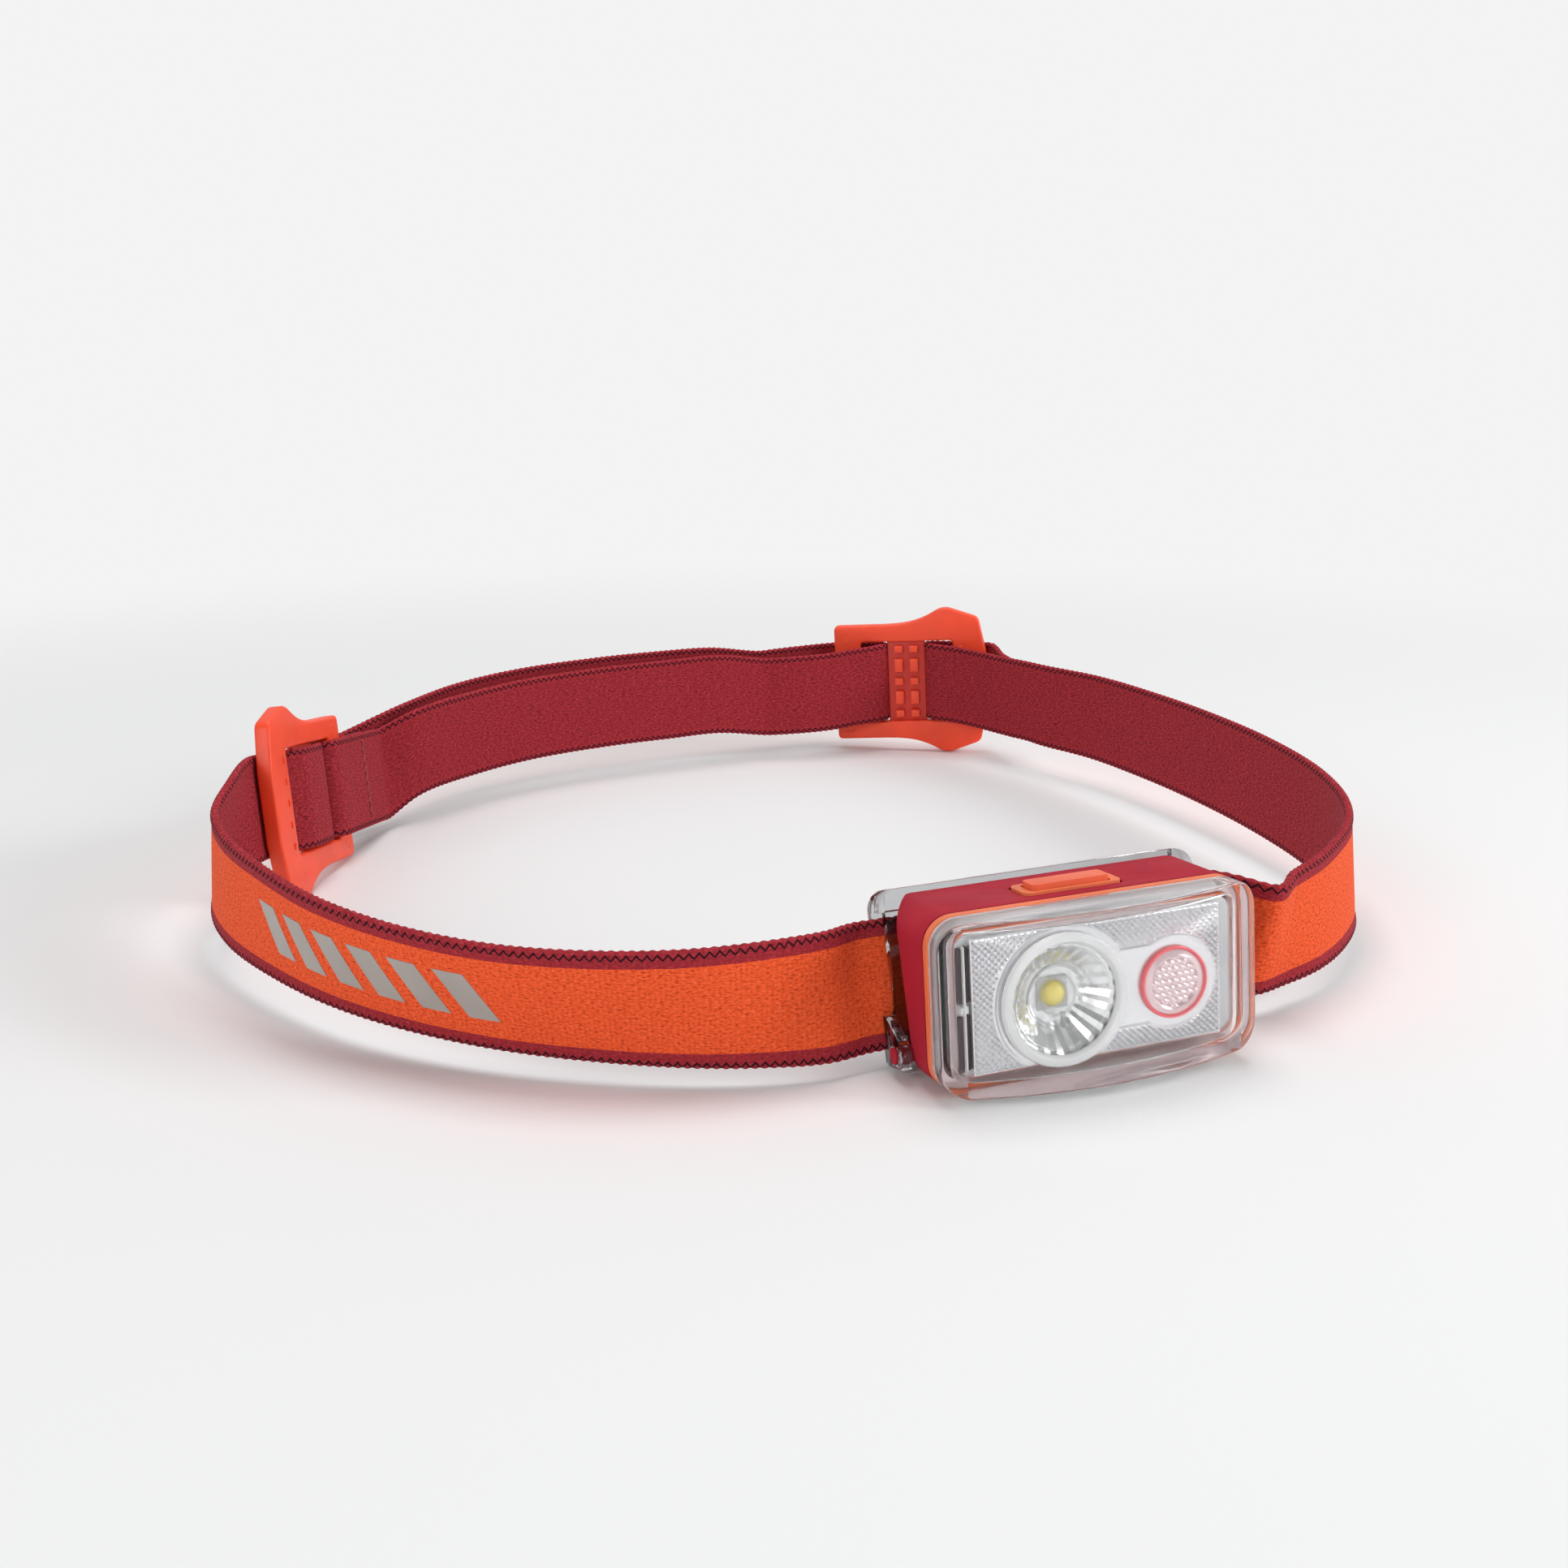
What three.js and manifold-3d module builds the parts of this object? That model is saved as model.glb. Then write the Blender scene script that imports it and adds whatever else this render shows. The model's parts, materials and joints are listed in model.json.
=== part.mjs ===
// A compact rechargeable headlamp on a 20 mm elastic head strap. Millimetres, +Z up.
//
// The lamp faces -Y. The strap runs from the clear bracket round the wearer's left (-X) side, through the
// size slider, to the back buckle and home along the right (+X) side. The whole object stands on its
// lowest edges, and its origin is the middle of its bounding box at that level.

import * as THREE from 'three';
import { mergeVertices } from 'three/addons/utils/BufferGeometryUtils.js';
import Module from 'manifold-3d';

const wasm = await Module();
wasm.setup();

// ---------------------------------------------------------------- driving dimensions

const GAP = 0.3; // clearance kept between touching pieces
const WALL = 1.7; // housing wall
const LAMP_LEAN = 4.3; // degrees the lamp leans back as it rests
const LAMP_ROLL = 1.9; // degrees its right side is held up by the strap
const BRACKET_LEAN = 12; // degrees the bracket and the housing's back lean past the lamp front
const LAMP_CENTRE = [0.2, 0.8, 14.8]; // middle of the lens cover's back plane, above the ground

const BODY = { width: 52.6, height: 26.4, radius: 4.5 }; // lamp outline seen from the front
const COVER = { back: -0.5, centre: 9.2, edge: 3.62, sideWall: 2.9, topWall: 1.9, front: 2 };
const SEAL = { from: -0.2, to: 1.2, proud: 0.1, width: 2.3 };
const HOUSING = { front: 1.5, back: 12.2, chamfer: 3.5 };
const HOLDER_Y = HOUSING.back + 0.7; // front of the bracket's plate, where it crosses z = 0
const REAR_COVER = { width: 44.6, height: 23.8, thick: 1.6, radius: 2 };
const SCREW = { x: 20.2, z: 9.8, head: 1.5, shank: 0.8, length: 4.4, post: 1.9, pilot: 1.1 };
const HINGE = { y: 9, z: -9.8, pin: 1.3, hole: 1.5, tip: 28.5 }; // lamp tilt axis, along X

const PANEL = { width: 39.8, height: 20.7, z: -0.4, front: -3.3, thick: 1.2 }; // prismatic optic plate
const MAIN = { x: -6.2, z: -0.95, ring: 10.3, lens: 8, back: 1.6 };
const SECOND = { x: 12.2, z: -1.15, ring: 5.45, lens: 4.3 };
const LIGHT_FRAME = { width: 45.4, height: 21, radius: 2, window: [37, 17.4], windowRadius: 1.5 };
const BOARD = { width: 45.4, height: 15, front: 2.3, thick: 0.8 };
const BATTERY = { width: 35, thick: 4.4, height: 14, y: 3.6, bottom: -8.5 };
const LEAD = { y: 5.4, radius: 0.5, reach: 2.9 }; // battery lead, and how far it loops past the cell

const BUTTON = {
  y: 6.85, frame: [16.4, 5.7], frameBottom: 11.4, key: [13, 3.7], keyBottom: 11.2, top: 14.4, travel: 0.7,
};
const SWITCH = { width: 6, depth: 3.6, bottom: 6.4, top: 9 };
const SOCKET = { y: 5.3, z: 2.9, thick: 3.2, width: 8.9, inner: 18.4, outer: 24.2 };
const FLAP = { y: 5.35, z: 3.5, wide: 6, tall: 12.6, inner: 25.7, outer: 26.6, pad: 1.1 };

const BRACKET = {
  plate: 26.2, half: 27.2, top: 14.2, bottom: -12.2, thick: 1.4, deep: 4.8, round: 3.2,
  endBar: 24.9, rimLow: 10.9, rimDeep: 3.6, sillTop: -10.5, sillFront: 2.2, shoulder: -3.6, cutTop: -6.2,
};
const LUG = { inner: 26.7, outer: 28.3 };

const STRAP = { width: 20, thick: 1.4 };
const BUCKLE = {
  length: 38.8, thick: 3.2, armHalf: 14.8, bulgeAt: 28.1, bulgeHalf: 18.75,
  openHalf: 10.5, endBar: 6.6, centre: [13.4, 23.2], bulgeBar: 30.4, bar: [-1.2, 0.4],
};
// grip pads on the centre bar
const PAD = { top: 1, half: 1, apart: 1.85, pitch: 4.2, short: 0.9, tall: 1.7 };
const SLIDER = { end: [-91.4, 157.2], heading: -114.8, lean: -7.1 }; // arm end, direction to the bulge
const REAR_BUCKLE = { end: [41.6, 212], heading: -27.6, lean: 0, pitch: 3 };

// ---------------------------------------------------------------- materials

const finish = (color, roughness, options = {}) =>
  new THREE.MeshStandardMaterial({ color, roughness, metalness: 0, ...options });
const clear = (opacity) => finish(0xe8ecec, 0.08, { transparent: true, opacity });

const RED_SHELL = () => finish(0xa8273a, 0.55);
const ORANGE_PLASTIC = () => finish(0xf4573a, 0.5);
const ORANGE_RUBBER = () => finish(0xe8683f, 0.7);
const ORANGE_WEBBING = () => finish(0xe5482a, 0.95);
const STEEL = () => finish(0xb9bcc0, 0.3, { metalness: 1 });

// ---------------------------------------------------------------- solids and placing

const degrees = THREE.MathUtils.degToRad;
const vec = (x, y, z) => new THREE.Vector3(x, y, z);

// A closed geometry as a manifold solid: shared corners are merged, flat triangles are dropped, and the
// faces are turned outwards whichever way the outline or profile was drawn.
function solid(geometry) {
  const bare = new THREE.BufferGeometry();
  const source = geometry.index ? geometry.toNonIndexed() : geometry;
  bare.setAttribute('position', source.getAttribute('position').clone());
  const merged = mergeVertices(bare, 1e-4);
  const position = merged.getAttribute('position');
  const corners = [];
  let volume = 0;
  for (let i = 0; i < merged.index.count; i += 3) {
    const [a, b, c] = [0, 1, 2].map((k) => merged.index.getX(i + k));
    if (a === b || b === c || c === a) continue;
    corners.push(a, b, c);
    const [p, q, r] = [a, b, c].map((k) => new THREE.Vector3().fromBufferAttribute(position, k));
    volume += p.dot(q.cross(r));
  }
  if (volume < 0) corners.reverse();
  return new wasm.Manifold(new wasm.Mesh({
    numProp: 3,
    vertProperties: position.array,
    triVerts: new Uint32Array(corners),
  }));
}

function geometryOf(manifold) {
  const { vertProperties, triVerts } = manifold.getMesh();
  const geometry = new THREE.BufferGeometry();
  geometry.setAttribute('position', new THREE.BufferAttribute(new Float32Array(vertProperties), 3));
  geometry.setIndex(new THREE.BufferAttribute(new Uint32Array(triVerts), 1));
  return geometry;
}

const join = (first, ...rest) => rest.reduce((a, b) => a.add(b), first);
const cut = (first, ...rest) => rest.reduce((a, b) => a.subtract(b), first);

// Prisms: an outline drawn across one axis and pushed along it.
const extrude = (shape, depth, curveSegments = 6) =>
  new THREE.ExtrudeGeometry(shape, { depth, bevelEnabled: false, curveSegments });
const alongY = (shape, from, to, segments) =>
  extrude(shape, to - from, segments).rotateX(Math.PI / 2).translate(0, to, 0);
const alongZ = (shape, from, to, segments) => extrude(shape, to - from, segments).translate(0, 0, from);
function alongX(shape, from, to, segments) {
  const turn = new THREE.Matrix4().makeBasis(vec(0, 1, 0), vec(0, 0, 1), vec(1, 0, 0));
  return extrude(shape, to - from, segments).applyMatrix4(turn).translate(from, 0, 0);
}

function roundedRect(width, height, radius, x = 0, y = 0) {
  const [w, h] = [width / 2, height / 2];
  const shape = new THREE.Shape();
  shape.moveTo(x - w + radius, y - h).lineTo(x + w - radius, y - h);
  shape.absarc(x + w - radius, y - h + radius, radius, -Math.PI / 2, 0);
  shape.absarc(x + w - radius, y + h - radius, radius, 0, Math.PI / 2);
  shape.absarc(x - w + radius, y + h - radius, radius, Math.PI / 2, Math.PI);
  shape.absarc(x - w + radius, y - h + radius, radius, Math.PI, Math.PI * 1.5);
  return shape;
}

const polygon = (points) => new THREE.Shape(points.map(([x, y]) => new THREE.Vector2(x, y)));
const disc = (x, y, radius) => new THREE.Shape().absarc(x, y, radius, 0, Math.PI * 2);
const CORNERS = [[1, 1], [1, -1], [-1, 1], [-1, -1]]; // signs of x and z
const FAR = 30; // past any surface of the lamp

const box = (low, high) =>
  new THREE.BoxGeometry(high[0] - low[0], high[1] - low[1], high[2] - low[2])
    .translate((low[0] + high[0]) / 2, (low[1] + high[1]) / 2, (low[2] + high[2]) / 2);

// Turned piece about an axis along Y through (x, z); the profile is [radius, y] pairs.
const turned = (profile, x, z, sides = 32) =>
  new THREE.LatheGeometry(profile.map(([r, y]) => new THREE.Vector2(r, y)), sides).translate(x, 0, z);

function mesh(name, geometry, material) {
  const piece = new THREE.Mesh(geometry, material);
  piece.name = name;
  return piece;
}

// A named piece from a geometry or from a manifold solid.
function piece(name, source, material) {
  const made = source instanceof THREE.BufferGeometry ? solid(source) : source;
  return mesh(name, geometryOf(made), material);
}

// Solids built against the sloping back of the lamp: y = 0 is the back plane at z = 0.
const backSlope = new THREE.Matrix4().makeRotationX(-degrees(BRACKET_LEAN));
const onBack = (geometry) => geometry.applyMatrix4(backSlope).translate(0, HOUSING.back, 0);

// ---------------------------------------------------------------- lamp shells

function lensCover() {
  const curve = (depthAtCentre, half, depthAtEdge) => {
    const control = 2 * depthAtCentre - depthAtEdge; // makes the middle of the curve land on the centre
    const shape = new THREE.Shape().moveTo(half, 5).lineTo(half, -depthAtEdge);
    shape.quadraticCurveTo(0, -control, -half, -depthAtEdge);
    return shape.lineTo(-half, 5);
  };
  const outer = solid(alongY(roundedRect(BODY.width, BODY.height, BODY.radius), -15, COVER.back));
  const bow = solid(alongZ(curve(COVER.centre, BODY.width / 2 + 1, COVER.edge - 0.4), -20, 20, 12));
  const cavityOutline = roundedRect(
    BODY.width - 2 * COVER.sideWall, BODY.height - 2 * COVER.topWall, BODY.radius - COVER.topWall);
  const cavity = solid(alongY(cavityOutline, -15, COVER.back + 1));
  const cavityBow = solid(alongZ(
    curve(COVER.centre - COVER.front, BODY.width / 2, COVER.edge - COVER.front + 0.2), -20, 20, 12));
  return piece('lens_cover', cut(outer.intersect(bow), cavity.intersect(cavityBow)), clear(0.35));
}

function lensSeal() {
  const outer = roundedRect(BODY.width + 2 * SEAL.proud, BODY.height + 2 * SEAL.proud, BODY.radius);
  outer.holes.push(roundedRect(
    BODY.width - 2 * SEAL.width, BODY.height - 2 * SEAL.width, BODY.radius - SEAL.width));
  return piece('lens_seal', alongY(outer, SEAL.from, SEAL.to), ORANGE_RUBBER());
}

// The red shell: a tube closed at the back by the rear cover, with the tilt trunnions on its back corners.
function housing() {
  const back = HOUSING.chamfer;
  const half = BODY.width / 2;
  const planOfBack = polygon([[-half - 1, -FAR], [half + 1, -FAR], [half + 1, -back - 1],
    [half - back, 0], [back - half, 0], [-half - 1, -back - 1]]);
  const outline = roundedRect(BODY.width, BODY.height, BODY.radius);
  const outer = solid(alongY(outline, HOUSING.front, FAR))
    .intersect(solid(onBack(alongZ(planOfBack, -FAR, FAR))));
  const trunnion = (side) => solid(new THREE.CylinderGeometry(HINGE.pin, HINGE.pin, 5.4, 24)
    .rotateZ(Math.PI / 2).translate(side * (HINGE.tip - 2.7), HINGE.y, HINGE.z));

  const shell = cut(outer, ...housingHollows(), ...housingHoles());
  const postMiddle = -REAR_COVER.thick - GAP - 2.5;
  const posts = CORNERS.map(([sx, sz]) => screwColumn(SCREW.post, 5, postMiddle, sx, sz));
  const pilots = CORNERS.map(([sx, sz]) => screwColumn(SCREW.pilot, 8, -3, sx, sz));
  const drilled = cut(join(shell, ...posts), ...pilots);
  return piece('housing', join(drilled, trunnion(1), trunnion(-1)), RED_SHELL());
}

// The chamber, the throat behind it, and the recess for the rear cover.
function housingHollows() {
  const height = BODY.height - 2 * WALL;
  const chamber = solid(alongY(roundedRect(BODY.width - 2 * WALL, height, BODY.radius - WALL), -1, FAR))
    .intersect(solid(onBack(box([-FAR, -FAR, -FAR], [FAR, -5, FAR]))));
  const throat = solid(onBack(alongY(roundedRect(REAR_COVER.width, height - 0.4, 2), -8, 1)));
  const recess = roundedRect(REAR_COVER.width + 2 * GAP, REAR_COVER.height + 2 * GAP, REAR_COVER.radius);
  return [chamber, throat, solid(onBack(alongY(recess, -REAR_COVER.thick - GAP, 2)))];
}

// Holes for the button, the port flap and the charge socket.
function housingHoles() {
  const [width, depth] = BUTTON.frame;
  const button = roundedRect(width + 2 * GAP, depth + 2 * GAP, 1.3, 0, BUTTON.y);
  const flap = roundedRect(FLAP.wide + 2 * GAP, FLAP.tall + 2 * GAP, 1.5, FLAP.y, FLAP.z);
  const socket = roundedRect(SOCKET.thick + 0.8, SOCKET.width + 0.8, 1.2, SOCKET.y, SOCKET.z);
  return [solid(alongZ(button, 8, 20)), solid(alongX(flap, FLAP.inner - GAP, FAR)),
    solid(alongX(socket, 22, FAR))];
}

// A round column about a rear screw's axis; middle is its depth from the lamp's back.
function screwColumn(radius, length, middle, sx, sz) {
  const column = new THREE.CylinderGeometry(radius, radius, length, 20);
  return solid(onBack(column.translate(sx * SCREW.x, middle, sz * SCREW.z)));
}

function rearCover() {
  const { width, height, radius, thick } = REAR_COVER;
  const plate = roundedRect(width, height, radius);
  for (const [sx, sz] of CORNERS)
    plate.holes.push(disc(sx * SCREW.x, sz * SCREW.z, SCREW.shank + GAP));
  const sinks = CORNERS.map(([sx, sz]) => screwColumn(SCREW.head + GAP, 2, 0.1, sx, sz));
  return piece('rear_cover', cut(solid(onBack(alongY(plate, -thick, 0))), ...sinks), RED_SHELL());
}

function rearScrew(name, sx, sz) {
  const { head, shank, length } = SCREW;
  const profile = [[0, -length], [shank, -length + 0.4], [shank, -0.6], [head, -0.6], [head, 0], [0, 0]];
  const body = turned(profile, 0, 0, 18);
  const recess = new THREE.CylinderGeometry(0.6, 0.6, 1, 6);
  const made = cut(solid(body), solid(recess));
  const geometry = onBack(geometryOf(made).translate(sx * SCREW.x, 0, sz * SCREW.z));
  return mesh(name, geometry, STEEL());
}

// ---------------------------------------------------------------- optics and electronics

function opticPlate() {
  const plate = roundedRect(PANEL.width, PANEL.height, 0.6, 0, PANEL.z);
  plate.holes.push(disc(MAIN.x, MAIN.z, MAIN.lens + GAP), disc(SECOND.x, SECOND.z, SECOND.lens + 0.5));
  return piece('optic_plate', alongY(plate, PANEL.front, PANEL.front + PANEL.thick, 10), clear(0.6));
}

function lightFrame() {
  const { width, height, radius, window, windowRadius } = LIGHT_FRAME;
  const frame = roundedRect(width, height, radius);
  frame.holes.push(roundedRect(...window, windowRadius, 0, PANEL.z));
  const from = PANEL.front + PANEL.thick + GAP;
  return piece('light_frame', alongY(frame, from, BOARD.front - GAP), finish(0xd8dada, 0.35));
}

function mainLensRing() {
  const { ring, lens, x, z } = MAIN;
  const front = PANEL.front - GAP;
  const profile = [[lens + 0.4, front], [ring, front], [ring - 0.3, front - 0.9], [lens + 0.9, front - 0.9],
    [lens + 0.4, front]];
  return piece('main_lens_ring', turned(profile, x, z, 40), finish(0xe6eaea, 0.45));
}

// A collimator with a dished front, a facetted inner wall and a pocket behind for the light source.
function mainLens() {
  const front = PANEL.front;
  const profile = [[0, MAIN.back - 2], [2.8, MAIN.back - 2], [2.8, MAIN.back], [4.2, MAIN.back],
    [MAIN.lens, front + 0.9], [MAIN.lens, front], [6.9, front], [5, front + 1.7], [2.2, front + 2],
    [1.6, front + 1.5], [0, front + 1.2]];
  return piece('main_lens', turned(profile, MAIN.x, MAIN.z, 36), clear(0.5));
}

function mainLed() {
  const [back, step] = [BOARD.front - GAP, BOARD.front - 0.9];
  const base = solid(box([-1.75, step, -1.75], [1.75, back, 1.75]));
  const dome = solid(new THREE.SphereGeometry(1.35, 20, 12).scale(1, 0.6, 1).translate(0, step, 0));
  const floor = solid(new THREE.CylinderGeometry(1.4, 1.4, 0.6, 20).translate(0, step + 0.1, 0));
  const geometry = geometryOf(join(base, floor, dome)).translate(MAIN.x, 0, MAIN.z);
  return mesh('main_led', geometry, finish(0xe6d36a, 0.4));
}

function secondaryRing() {
  const { ring, lens, x, z } = SECOND;
  const front = PANEL.front - GAP;
  const profile = [[lens + 0.35, front], [ring, front], [ring, front - 0.6], [lens + 0.35, front - 0.6],
    [lens + 0.35, front]];
  return piece('secondary_ring', turned(profile, x, z, 32), finish(0xd8404c, 0.4));
}

function secondaryLens() {
  const { lens, x, z } = SECOND;
  const front = PANEL.front;
  const profile = [[0, front + 1.9], [3.4, front + 1.9], [lens, front + 1.2], [lens, front - 0.5],
    [3.7, front - 0.5], [3.4, front], [0, front - 0.3]];
  return piece('secondary_lens', turned(profile, x, z, 28), clear(0.5));
}

function redLed() {
  const { x, z } = SECOND;
  const low = [x - 1, BOARD.front - 1.1, z - 0.8];
  return piece('red_led', box(low, [x + 1, BOARD.front - GAP, z + 0.8]), finish(0xc9303a, 0.3));
}

function ledBoard() {
  const board = roundedRect(BOARD.width, BOARD.height, 1);
  return piece('led_board', alongY(board, BOARD.front, BOARD.front + BOARD.thick), finish(0x2b6b3f, 0.5));
}

function battery() {
  const { width, height, thick, y, bottom } = BATTERY;
  const side = roundedRect(thick, height, 1.2, y + thick / 2, bottom + height / 2);
  return piece('battery', alongX(side, -width / 2, width / 2), finish(0xb8bcc2, 0.35, { metalness: 0.6 }));
}

function batteryPad() {
  const back = BATTERY.y + BATTERY.thick + GAP;
  return piece('battery_pad', box([-12, back, 0.2], [12, back + 1.3, 5]), finish(0x2a2a2c, 0.95));
}

// A short lead from the end of the cell to the back of the board.
function batteryLead(name, z, color) {
  const start = BATTERY.width / 2 + GAP;
  const end = start + LEAD.reach;
  const path = new THREE.CatmullRomCurve3([vec(start, LEAD.y, z), vec(start + 1.4, LEAD.y + 0.2, z),
    vec(end - 0.3, LEAD.y - 0.4, z), vec(end, 4.2, z), vec(end, 3.5, z)]);
  const section = disc(0, 0, LEAD.radius);
  const wire = new THREE.ExtrudeGeometry(section, { steps: 10, extrudePath: path, curveSegments: 4 });
  return piece(name, wire, finish(color, 0.5));
}

function chargeSocket() {
  const { y, z, thick, width, inner, outer } = SOCKET;
  const shell = solid(alongX(roundedRect(thick, width, 1.3, y, z), inner, outer));
  const mouth = solid(alongX(roundedRect(thick - 0.7, width - 0.7, 1, y, z), inner + 1, outer + 1));
  const tongue = solid(box([inner + 0.5, y - 0.35, z - 3.2], [outer - 0.8, y + 0.35, z + 3.2]));
  return piece('charge_socket', join(cut(shell, mouth), tongue), STEEL());
}

function portCover() {
  const { y, z, wide, tall, inner, outer, pad } = FLAP;
  const flap = solid(alongX(roundedRect(wide, tall, 1.2, y, z), inner, outer));
  const plug = solid(alongX(roundedRect(2.9, 8.4, 1.2, y, SOCKET.z), inner - pad, inner + 0.3));
  const foot = z - tall / 2;
  const grip = solid(box([outer - 0.3, y - 1.8, foot + 0.5], [outer + 0.35, y + 1.8, foot + 1.3]));
  return piece('port_cover', join(flap, plug, grip), finish(0x8e2030, 0.8));
}

// ---------------------------------------------------------------- power button

function buttonBezel() {
  const [width, depth] = BUTTON.frame;
  const frame = roundedRect(width, depth, 1.2, 0, BUTTON.y);
  frame.holes.push(roundedRect(BUTTON.key[0] + 2 * GAP, BUTTON.key[1] + 2 * GAP, 0.8, 0, BUTTON.y));
  return piece('button_bezel', alongZ(frame, BUTTON.frameBottom, BODY.height / 2 + 0.35), ORANGE_RUBBER());
}

function powerButton() {
  const [width, depth] = BUTTON.key;
  const key = roundedRect(width, depth, 0.7, 0, BUTTON.y);
  return piece('power_button', alongZ(key, BUTTON.keyBottom, BUTTON.top), ORANGE_RUBBER());
}

function switchPlunger() {
  const [low, high] = [SWITCH.top + GAP + BUTTON.travel, BUTTON.keyBottom - GAP];
  const stem = new THREE.CylinderGeometry(1, 1, high - low, 16).rotateX(Math.PI / 2);
  return piece('switch_plunger', stem.translate(0, BUTTON.y, (low + high) / 2), finish(0x2b2c2f, 0.4));
}

function switchBody() {
  const { width, depth, bottom, top } = SWITCH;
  const low = [-width / 2, BUTTON.y - depth / 2, bottom];
  return piece('switch_body', box(low, [width / 2, BUTTON.y + depth / 2, top]), finish(0xc9ccd0, 0.4));
}

// ---------------------------------------------------------------- bracket

// Built upright: y = 0 is the front of its middle plate, z = 0 the middle of the strap it carries.
function bracketPlate() {
  const { plate, half, top, bottom, thick, round, endBar, rimLow, shoulder, cutTop } = BRACKET;
  const face = new THREE.Shape();
  face.moveTo(-LUG.outer, bottom).lineTo(-LUG.outer, -9).lineTo(-plate, shoulder).lineTo(-plate, rimLow);
  face.lineTo(-half, rimLow).lineTo(-half, top - round);
  face.absarc(-half + round, top - round, round, Math.PI, Math.PI / 2, true);
  face.absarc(half - round, top - round, round, Math.PI / 2, 0, true);
  face.lineTo(half, rimLow).lineTo(plate, rimLow).lineTo(plate, shoulder).lineTo(LUG.outer, -9);
  face.lineTo(LUG.outer, bottom).lineTo(endBar, bottom).lineTo(endBar, -8);
  face.lineTo(22, cutTop).lineTo(-22, cutTop).lineTo(-endBar, -8).lineTo(-endBar, bottom);
  return solid(alongY(face, 0, thick));
}

// The lug that takes the lamp's trunnion on one side.
function bracketLug(side) {
  const lean = degrees(BRACKET_LEAN);
  const back = HINGE.y - HOLDER_Y;
  const hole = [back * Math.cos(lean) - HINGE.z * Math.sin(lean),
    back * Math.sin(lean) + HINGE.z * Math.cos(lean)];
  const { bottom } = BRACKET;
  const shape = polygon([[1, -4.6], [-0.2, -4.6], [-4.4, -8.4], [-5.2, -10.4], [-4.3, bottom - 0.2],
    [1, bottom]]);
  shape.holes.push(disc(...hole, HINGE.hole));
  const [near, far] = side > 0 ? [LUG.inner, LUG.outer] : [-LUG.outer, -LUG.inner];
  return solid(alongX(shape, near, far, 12));
}

function bracket() {
  const { half, top, bottom, thick, deep, round, endBar, rimLow, rimDeep, sillTop, sillFront } = BRACKET;
  const channel = thick + STRAP.thick + 2 * GAP; // depth at which the end bars start
  const atEnd = (side, low, high) => solid(box(
    [Math.min(side * endBar, side * half), ...low], [Math.max(side * endBar, side * half), ...high]));
  const rim = solid(box([-half, 0, rimLow], [half, rimDeep, top + 1]));
  const sill = solid(box([-half, sillFront, bottom], [half, deep, sillTop]));
  const ends = [1, -1].flatMap((side) => [
    atEnd(side, [0, rimLow], [deep, top + 1]),
    atEnd(side, [channel, bottom], [deep, top]),
    atEnd(side, [0, bottom], [deep, sillTop])]);
  const trim = solid(alongY(roundedRect(2 * half, 2 * (top + FAR), round, 0, -FAR), -1, deep + 1));
  const frame = join(bracketPlate(), rim, sill, ...ends).intersect(trim);
  return piece('bracket', join(frame, bracketLug(1), bracketLug(-1)), clear(0.3));
}

function browStrap() {
  const y = BRACKET.thick + GAP;
  const half = STRAP.width / 2;
  return piece('strap_brow', box([-27.4, y, -half], [27.4, y + STRAP.thick, half]), ORANGE_WEBBING());
}

// ---------------------------------------------------------------- buckles
// Buckle frame: x runs from the open-armed end to the bulged end, z is the face towards the head.

function buckle(name) {
  const { length, thick, armHalf, bulgeAt, bulgeHalf, openHalf, endBar, centre, bulgeBar, bar } = BUCKLE;
  const outline = new THREE.Shape().moveTo(0, -armHalf + 1).lineTo(0, armHalf - 1);
  outline.quadraticCurveTo(0, armHalf, 1, armHalf).lineTo(12, armHalf);
  outline.bezierCurveTo(19, armHalf, 23, armHalf + 1, bulgeAt, bulgeHalf).lineTo(length - 2.1, 16.3);
  outline.lineTo(length, 7).lineTo(length, -7).lineTo(length - 2.1, -16.3).lineTo(bulgeAt, -bulgeHalf);
  outline.bezierCurveTo(23, -armHalf - 1, 19, -armHalf, 12, -armHalf).lineTo(1, -armHalf);
  outline.quadraticCurveTo(0, -armHalf, 0, -armHalf + 1);
  const opening = roundedRect(bulgeBar - endBar, 2 * openHalf, 0.8, (endBar + bulgeBar) / 2, 0);
  outline.holes.push(opening);
  const frame = solid(alongZ(outline, -thick / 2, thick / 2));

  const middleBar = solid(box([centre[0], -openHalf - 0.5, bar[0]], [centre[1], openHalf + 0.5, bar[1]]));
  const pads = [];
  for (let row = -2; row <= 2; row += 1) {
    const reach = row % 2 === 0 ? PAD.short : PAD.tall;
    const y = row * PAD.pitch;
    for (const side of [-1, 1]) {
      const x = (centre[0] + centre[1]) / 2 + side * PAD.apart;
      pads.push(solid(box([x - PAD.half, y - reach, 0.2], [x + PAD.half, y + reach, PAD.top])));
    }
  }
  return piece(name, join(frame, middleBar, ...pads), ORANGE_PLASTIC());
}

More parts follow.
